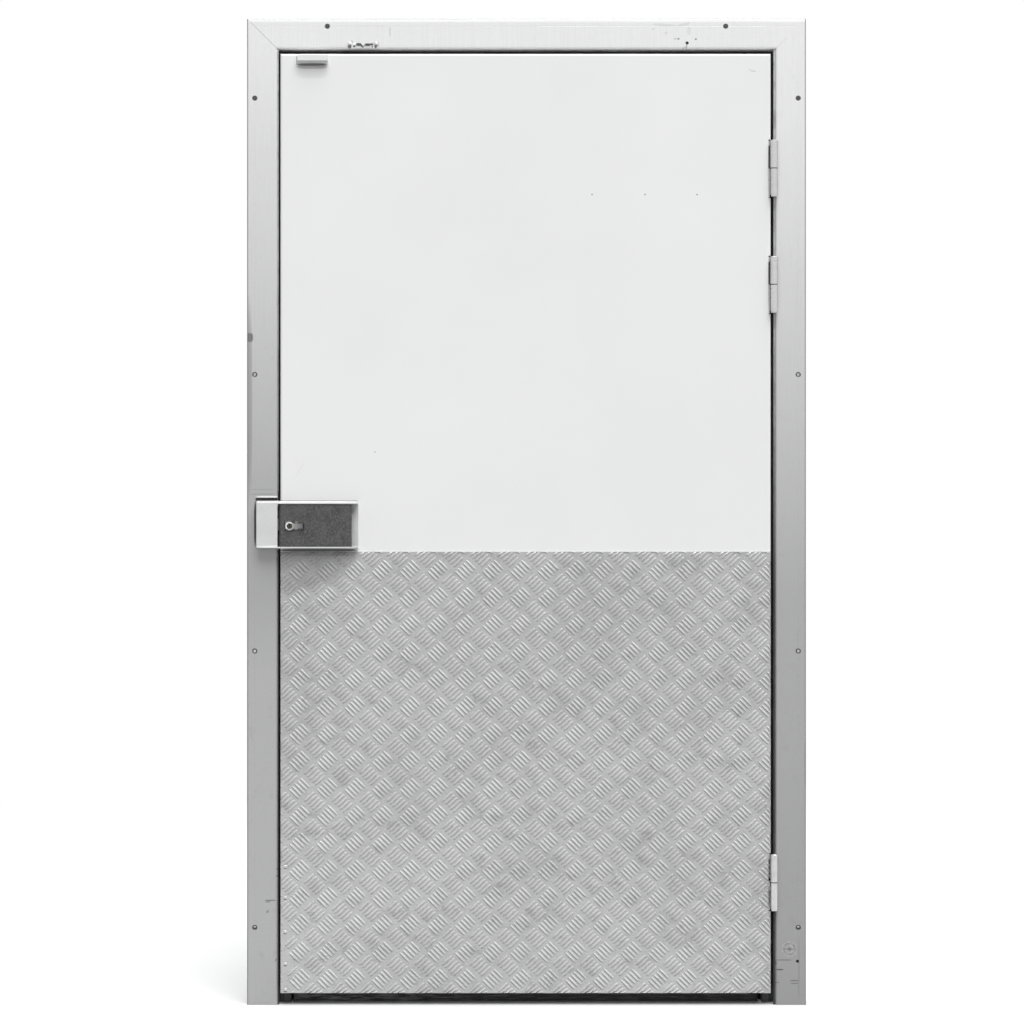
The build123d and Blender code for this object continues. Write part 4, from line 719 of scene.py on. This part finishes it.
def screw_head_mesh():
    """An oval countersunk head with a cross recess, standing on its rim with +Z outwards."""
    bm = bmesh.new()
    loops = []
    for ring in range(1, HEAD_RINGS + 1):
        reach = ring / HEAD_RINGS
        rise = HEAD_DOME * math.sqrt(max(0.0, 1.0 - reach * reach * HEAD_ROUND)) - HEAD_DOME * HEAD_SINK
        circle = circle_points(HEAD_RADIUS * reach, HEAD_AROUND)
        loops.append([bm.verts.new((x, y, max(rise, 0.0))) for x, y in circle])
    centre = bm.verts.new((0, 0, HEAD_DOME * (1 - HEAD_SINK)))
    foot = [bm.verts.new((v.co.x, v.co.y, -SHANK_DEPTH)) for v in loops[-1]]
    for i in range(HEAD_AROUND):
        j = (i + 1) % HEAD_AROUND
        bm.faces.new((centre, loops[0][i], loops[0][j]))
        for inner, outer in zip(loops, loops[1:]):
            bm.faces.new((inner[i], outer[i], outer[j], inner[j]))
        bm.faces.new((loops[-1][i], foot[i], foot[j], loops[-1][j]))
    bm.faces.new(list(reversed(foot)))
    bmesh.ops.recalc_face_normals(bm, faces=bm.faces)
    head = bpy.data.meshes.new("head_blank")
    bm.to_mesh(head)
    bm.free()

    cutter = bmesh.new()
    for length, width in ((CROSS_LENGTH, CROSS_WIDTH), (CROSS_WIDTH, CROSS_LENGTH)):
        shape = Matrix.Diagonal((length, width, CROSS_DEPTH, 1.0))
        bmesh.ops.create_cube(cutter, size=1.0, matrix=Matrix.Translation((0, 0, CROSS_LIFT)) @ shape)
    cross = bpy.data.meshes.new("cross_cutter")
    cutter.to_mesh(cross)
    cutter.free()

    blank = bpy.data.objects.new("head_blank", head)
    tool = bpy.data.objects.new("cross_cutter", cross)
    for item in (blank, tool):
        bpy.context.scene.collection.objects.link(item)
    cut = blank.modifiers.new("cross", "BOOLEAN")
    cut.object = tool
    cut.operation = "DIFFERENCE"
    cut.solver = "EXACT"
    cut.use_self = True
    graph = bpy.context.evaluated_depsgraph_get()
    result = bpy.data.meshes.new_from_object(blank.evaluated_get(graph))
    bpy.data.objects.remove(blank)
    bpy.data.objects.remove(tool)
    return result


def facing_matrix(outwards):
    """Turns +Z to the given direction."""
    return outwards.to_track_quat("Z", "Y").to_matrix().to_4x4()


def add_screw_heads(node, axis, sign, body, material, head):
    """A detailed head on the flat end of every screw in a CAD node that points along an axis."""
    vertices, faces = [], []
    outwards = Vector([sign if i == axis else 0 for i in range(3)])
    drawn = random.Random(node)
    for low, high in islands(node):
        span = high - low
        if max(range(3), key=lambda i: span[i]) != axis:
            continue
        centre = (low + high) / 2
        centre[axis] = high[axis] if sign > 0 else low[axis]
        spin = Matrix.Rotation(drawn.uniform(0, math.pi / 2), 4, "Z")
        place = Matrix.Translation(centre) @ facing_matrix(outwards) @ spin
        start = len(vertices)
        vertices += [place @ v.co for v in head.vertices]
        faces += [[start + i for i in p.vertices] for p in head.polygons]
    name = f"{node}_heads_{'xyz'[axis]}"
    new_piece(name, vertices, faces, body, material, smooth=False)


def add_tread_bars(material):
    """Groups of five parallel bars that lean left and right by turns, cut off at the plate's edges."""
    low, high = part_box("kick_plate")
    screws = [(l + h) / 2 for l, h in islands("kick_plate_screws")]
    stations = [(-t, wide, tall) for t, wide, tall in BAR_ENDS] + [(0.0, 1.0, 1.0), *reversed(BAR_ENDS)]
    vertices, faces = [], []

    def add_bar(x, z, lean):
        along = Vector((math.cos(lean), 0, math.sin(lean)))
        across = Vector((-math.sin(lean), 0, math.cos(lean)))
        if any((Vector((x, 0, z)) - Vector((s.x, 0, s.z))).length < SCREW_CLEARANCE for s in screws):
            return
        rows = []
        for t, wide, tall in stations:
            row = []
            for u, rise in BAR_SECTION if wide else ((0.0, BAR_SINK),):
                point = Vector((x, low.y, z)) + along * (t * BAR_LENGTH) + across * (u * wide * BAR_WIDTH)
                point.y = low.y - BAR_HEIGHT * (rise * tall if wide else rise)
                point.x = min(max(point.x, low.x + PLATE_INSET), high.x - PLATE_INSET)
                point.z = min(max(point.z, low.z + PLATE_INSET), high.z - PLATE_INSET)
                row.append(len(vertices))
                vertices.append(point)
            rows.append(row)
        for first, second in zip(rows, rows[1:]):
            for i in range(len(BAR_SECTION) - 1):
                if len(first) == 1:
                    faces.append((first[0], second[i + 1], second[i]))
                elif len(second) == 1:
                    faces.append((first[i], first[i + 1], second[0]))
                else:
                    faces.append((first[i], first[i + 1], second[i + 1], second[i]))

    reach = BAR_LENGTH * BAR_OVERHANG
    columns = range(-SPARE_GROUPS, int((high.x - GROUP_START_X) / GROUP_PERIOD_X) + SPARE_GROUPS)
    rows_down = range(-SPARE_GROUPS, int((GROUP_START_Z - low.z) / GROUP_PERIOD_Z) + SPARE_GROUPS)
    for column in columns:
        for row in rows_down:
            for half, lean in ((0, -math.pi / 4), (1, math.pi / 4)):
                centre_x = GROUP_START_X + (column + half * GROUP_SHIFT_X) * GROUP_PERIOD_X
                centre_z = GROUP_START_Z - (row + half * GROUP_SHIFT_Z) * GROUP_PERIOD_Z
                for bar in range(BARS_PER_GROUP):
                    step = (bar - (BARS_PER_GROUP - 1) / 2) * BAR_PITCH
                    x = centre_x - math.sin(lean) * step
                    z = centre_z + math.cos(lean) * step
                    if low.x - reach < x < high.x + reach and low.z - reach < z < high.z + reach:
                        add_bar(x, z, lean)
    piece = new_piece("tread_bars", vertices, faces, "leaf", material)
    bm = bmesh.new()
    bm.from_mesh(piece.data)
    bmesh.ops.dissolve_degenerate(bm, dist=0.01 * MM, edges=bm.edges)
    bmesh.ops.recalc_face_normals(bm, faces=bm.faces)
    bm.to_mesh(piece.data)
    bm.free()


def add_blocks(name, boxes, body, material):
    """Plain blocks given by two corners each, as one piece."""
    vertices, faces = [], []
    sides = ((0, 1, 3, 2), (4, 6, 7, 5), (0, 4, 5, 1), (2, 3, 7, 6), (0, 2, 6, 4), (1, 5, 7, 3))
    for corners in boxes:
        start = len(vertices)
        vertices += itertools.product(*zip(*corners))
        faces += [[start + i for i in side] for side in sides]
    new_piece(name, vertices, faces, body, material, smooth=False)


def add_foot_pads(material):
    """Rubber pads on the liners' feet that close the daylight behind the ends of the sweep."""
    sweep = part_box("sweep_rubber")
    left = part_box("frame_liner_left")[1].x
    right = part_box("frame_liner_right")[0].x
    boxes = [
        ((left, PAD_FRONT, 0.0), (sweep[0].x + PAD_LAP, PAD_BACK, PAD_HEIGHT)),
        ((sweep[1].x - PAD_LAP, PAD_FRONT, 0.0), (right, PAD_BACK, PAD_HEIGHT)),
    ]
    add_blocks("foot_pads", boxes, "frame", material)


def add_reveal_beads(material):
    """Pale beads in the jambs' reveals, standing in for light on the reveal walls, left out where the lock's
    bolt and paddle pass.
    """
    inner = HALF_FRAME - FRAME_FACE
    top = FRAME_TOP - FRAME_FACE
    boxes = [
        ((-inner, BEAD_FRONT, 0.0), (BEAD_LEFT - inner, BEAD_BACK, LOCK_GAP_LOW)),
        ((-inner, BEAD_FRONT, LOCK_GAP_HIGH), (BEAD_LEFT - inner, BEAD_BACK, top)),
        ((inner - BEAD_RIGHT, BEAD_FRONT, 0.0), (inner, BEAD_BACK, top)),
    ]
    add_blocks("reveal_beads", boxes, "frame", material)


def add_hole_plugs(material):
    """Dark dowels a little way down the two empty holes in the frame's face, standing in for the shade inside
    them.
    """
    vertices, faces = [], []
    for x, z in SPARE_HOLES:
        front = list(range(len(vertices), len(vertices) + PLUG_SIDES))
        back = [i + PLUG_SIDES for i in front]
        for depth in (PLUG_FRONT, PLUG_BACK):
            vertices += [(x + across, depth, z + up) for across, up in circle_points(PLUG_RADIUS, PLUG_SIDES)]
        faces += [front, list(reversed(back))]
        for i in range(PLUG_SIDES):
            j = (i + 1) % PLUG_SIDES
            faces.append([front[j], front[i], back[i], back[j]])
    new_piece("hole_plugs", vertices, faces, "frame", material, smooth=False)


def add_spring(material):
    """The release spring as a mesh of its own riding on the leaf, in place of the CAD node; the real spring
    closes up towards its guide as the knob is pushed in.
    """
    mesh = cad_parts["release_spring"].data
    vertices = [v.co.copy() for v in mesh.vertices]
    faces = [list(p.vertices) for p in mesh.polygons]
    piece = new_piece("release_spring_coil", vertices, faces, "leaf", material)
    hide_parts("release_spring")
    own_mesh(piece)


def dress(names, material):
    """Gives CAD nodes a finish."""
    for name in names:
        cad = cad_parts[name]
        cad.data.materials.clear()
        cad.data.materials.append(material)


SIDES = ("left", "right", "head")
HINGES = ("bottom", "middle", "top")

tread = tread_plate()
seal_black = plastic("seal_black", grey(0.022), 0.7, 500, 0.00004, 0.2, 0.25)
# Screw heads get painted shade on their lower halves
screw_steel = metal("screw_steel", 0.55, 0.32, stain=0.5, under=0.85)
fixing_head = fixing_finish()
FINISHES = (
    (anodised_frame(), [f"frame_profile_{s}" for s in SIDES]),
    (plastic("liner_black", grey(0.03), 0.55, 400, 0.00003, 0.2, 0.3), [f"frame_liner_{s}" for s in SIDES]),
    (
        metal("strip_steel", 0.10, 0.5, grain=(0.2, 1, 0.2), metallic=0.5),
        [f"keeper_strip_{s}" for s in SIDES],
    ),
    (coated_sheet("trim_white", 0.80, 0.6), [f"rear_trim_{s}" for s in SIDES]),
    (
        metal("bar_aluminium", 0.6, 0.4, grain=(0.2, 1, 3.0)),
        ["corner_cleat_left", "corner_cleat_right", "sweep_bar"],
    ),
    (coated_sheet("leaf_white", 0.84, marks=LEAF_MARKS_AND_SHADOWS), ["leaf_front_skin", "leaf_back_skin"]),
    (foam(), ["leaf_core"]),
    (
        plastic("edge_grey", grey(0.62), 0.5),
        ["leaf_edge_profile_left", "leaf_edge_profile_right", "leaf_edge_profile_head", "leaf_bottom_rail"],
    ),
    (seal_black, ["door_gasket"]),
    (sweep_finish(), ["sweep_rubber"]),
    (tread, ["kick_plate"]),
    (
        metal("hinge_steel", 0.62, 0.3, grain=(0.2, 0.2, 3.0)),
        [f"hinge_{side}_leaf_{h}" for side in ("frame", "door") for h in HINGES],
    ),
    (metal("pin_steel", 0.42, 0.35), [f"hinge_pin_{h}" for h in HINGES] + ["paddle_pin", "release_rod"]),
    # Near-black nylon washers: painted shade in the split between the hinge knuckles
    (plastic("nylon", grey(0.04), 0.4), [f"hinge_washer_{h}" for h in HINGES]),
    # Near-black keeper plate: painted shade in the notch behind the lock's nose, over blackened steel
    (metal("keeper_steel", 0.03, 0.6, grain=(0.3, 1, 3.0), metallic=0.2), ["keeper_plate"]),
    (metal("plate_steel", 0.36, 0.42, grain=(0.3, 1, 3.0)), ["lock_back_plate", "bolt_guide"]),
    (
        plastic("housing_grey", grey(0.66), 0.38, 500, 0.00004, 0.07, 0.12, HOUSING_HIGHLIGHTS, 0.9),
        ["lock_housing"],
    ),
    (paddle_finish(), ["paddle"]),
    (cylinder_finish(), ["cylinder_body"]),
    (metal("plug_brass", 0.07, 0.35, tint=(1.0, 0.94, 0.8), stain=0.6, under=0.6), ["key_plug"]),
    (metal("cam_steel", 0.36, 0.5), ["key_cam"]),
    (metal("bolt_steel", 0.55, 0.35, grain=(0.2, 1, 3.0)), ["lock_bolt"]),
    (plastic("guide_black", grey(0.05), 0.45), ["release_guide"]),
    (plastic("knob_black", grey(0.06), 0.35, 600, 0.00003), ["release_knob"]),
    (plastic("contact_white", grey(0.80), 0.35, 600, 0.00002, 0.05, 0.12), ["contact_magnet"]),
    (plastic("base_white", grey(0.70), 0.6, 300, 0.00015, 0.2, 0.3, SWITCH_MARKS_LIGHT_AND_SHADE), ["switch_base_remains"]),
)
for cad_finish, cad_names in FINISHES:
    dress(cad_names, cad_finish)

add_spring(metal("spring_steel", 0.45, 0.35))
SCREW_NODES = (
    ("frame_fixing_screws", "frame", ((1, -1),)),
    ("rear_trim_screws", "frame", ((1, 1),)),
    ("frame_hardware_screws", "frame", ((0, -1), (1, -1))),
    ("switch_base_screws", "frame", ((1, -1),)),
    ("kick_plate_screws", "leaf", ((1, -1),)),
    ("leaf_hardware_screws", "leaf", ((0, 1), (1, -1))),
)
screw_head = screw_head_mesh()
for screw_node, screw_body, directions in SCREW_NODES:
    finish = fixing_head if screw_node == "frame_fixing_screws" else screw_steel
    dress([screw_node], finish)
    for screw_axis, screw_sign in directions:
        add_screw_heads(screw_node, screw_axis, screw_sign, screw_body, finish, screw_head)

add_tread_bars(tread)
add_foot_pads(seal_black)
add_reveal_beads(bead_finish())
add_hole_plugs(seal_black)


def add_sun(name, towards, strength, spread_angle):
    """A soft distant light that shines from a direction."""
    light = bpy.data.lights.new(name, "SUN")
    light.energy = strength
    light.angle = math.radians(spread_angle)
    lamp = bpy.data.objects.new(name, light)
    lamp.rotation_euler = Vector(towards).to_track_quat("Z", "Y").to_euler()
    lamp.location = Vector(towards) * SUN_DISTANCE
    bpy.context.scene.collection.objects.link(lamp)


def seen_directly(nodes, links):
    """A factor that is 1 for what cameras, mirrors and glass see."""
    path = nodes.new("ShaderNodeLightPath")
    total = path.outputs["Is Camera Ray"]
    for name in ("Is Glossy Ray", "Is Transmission Ray"):
        either = nodes.new("ShaderNodeMath")
        either.operation = "MAXIMUM"
        links.new(total, either.inputs[0])
        links.new(path.outputs[name], either.inputs[1])
        total = either.outputs[0]
    return total


def add_studio():
    """Plain pale floor that keeps the shadow, soft lights and a white surround."""
    world = bpy.data.worlds.new("studio")
    bpy.context.scene.world = world
    world.use_nodes = True
    nodes, links = world.node_tree.nodes, world.node_tree.links
    nodes.clear()
    output = nodes.new("ShaderNodeOutputWorld")
    mix = nodes.new("ShaderNodeMixShader")
    links.new(seen_directly(nodes, links), mix.inputs["Fac"])
    for strength, socket in ((SOFT_LIGHT, mix.inputs[1]), (1.0, mix.inputs[2])):
        background = nodes.new("ShaderNodeBackground")
        background.inputs["Color"].default_value = (1.0, 1.0, 1.0, 1.0)
        background.inputs["Strength"].default_value = strength
        links.new(background.outputs[0], socket)
    links.new(mix.outputs[0], output.inputs["Surface"])

    pale = Finish("studio_floor", roughness=0.9, specular=0.1)
    nodes, links = pale.nodes, pale.links
    seen = seen_directly(nodes, links)
    shown = pale.mix(pale.spread(pale.noise(1.5), 0.3, 0.7), grey(FLOOR_SHOWN), grey(FLOOR_SHOWN * 1.02))
    pale.put(pale.shader.inputs["Base Color"], pale.mix(seen, grey(FLOOR_BOUNCE), shown))
    glow = nodes.new("ShaderNodeEmission")
    blend = nodes.new("ShaderNodeMixShader")
    flat = pale.sum_of(pale.axis("X"), pale.axis("X"), pale.axis("Y"), pale.axis("Y"))
    far = pale.spread(pale.math("SQRT", flat), FLOOR_NEAR, FLOOR_FAR)
    links.new(pale.times(far, seen), blend.inputs["Fac"])
    links.new(pale.shader.outputs["BSDF"], blend.inputs[1])
    links.new(glow.outputs[0], blend.inputs[2])
    links.new(blend.outputs[0], nodes["Material Output"].inputs["Surface"])
    mesh = bpy.data.meshes.new("studio_floor")
    corners = [(x * FLOOR_REACH, y * FLOOR_REACH, 0) for x, y in ((-1, -1), (1, -1), (1, 1), (-1, 1))]
    mesh.from_pydata(corners, [], [(0, 1, 2, 3)])
    mesh.materials.append(pale.material)
    floor = bpy.data.objects.new("studio_floor", mesh)
    bpy.context.scene.collection.objects.link(floor)

    for sun in SUNS:
        add_sun(*sun)


def add_camera():
    """The photograph's camera, level and square to the door."""
    camera = bpy.data.cameras.new("camera")
    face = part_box("frame_profile_head")[0].y
    width = PICTURE * MM_PER_PIXEL * MM
    camera.sensor_width = SENSOR
    camera.lens = SENSOR * CAMERA_DISTANCE / width
    eye = bpy.data.objects.new("camera", camera)
    eye.location = (photo_x(PICTURE / 2), face - CAMERA_DISTANCE, photo_z(PICTURE / 2))
    eye.rotation_euler = (math.pi / 2, 0.0, 0.0)
    bpy.context.scene.collection.objects.link(eye)
    bpy.context.scene.camera = eye


add_studio()
add_camera()
bpy.context.scene.view_settings.view_transform = "Standard"
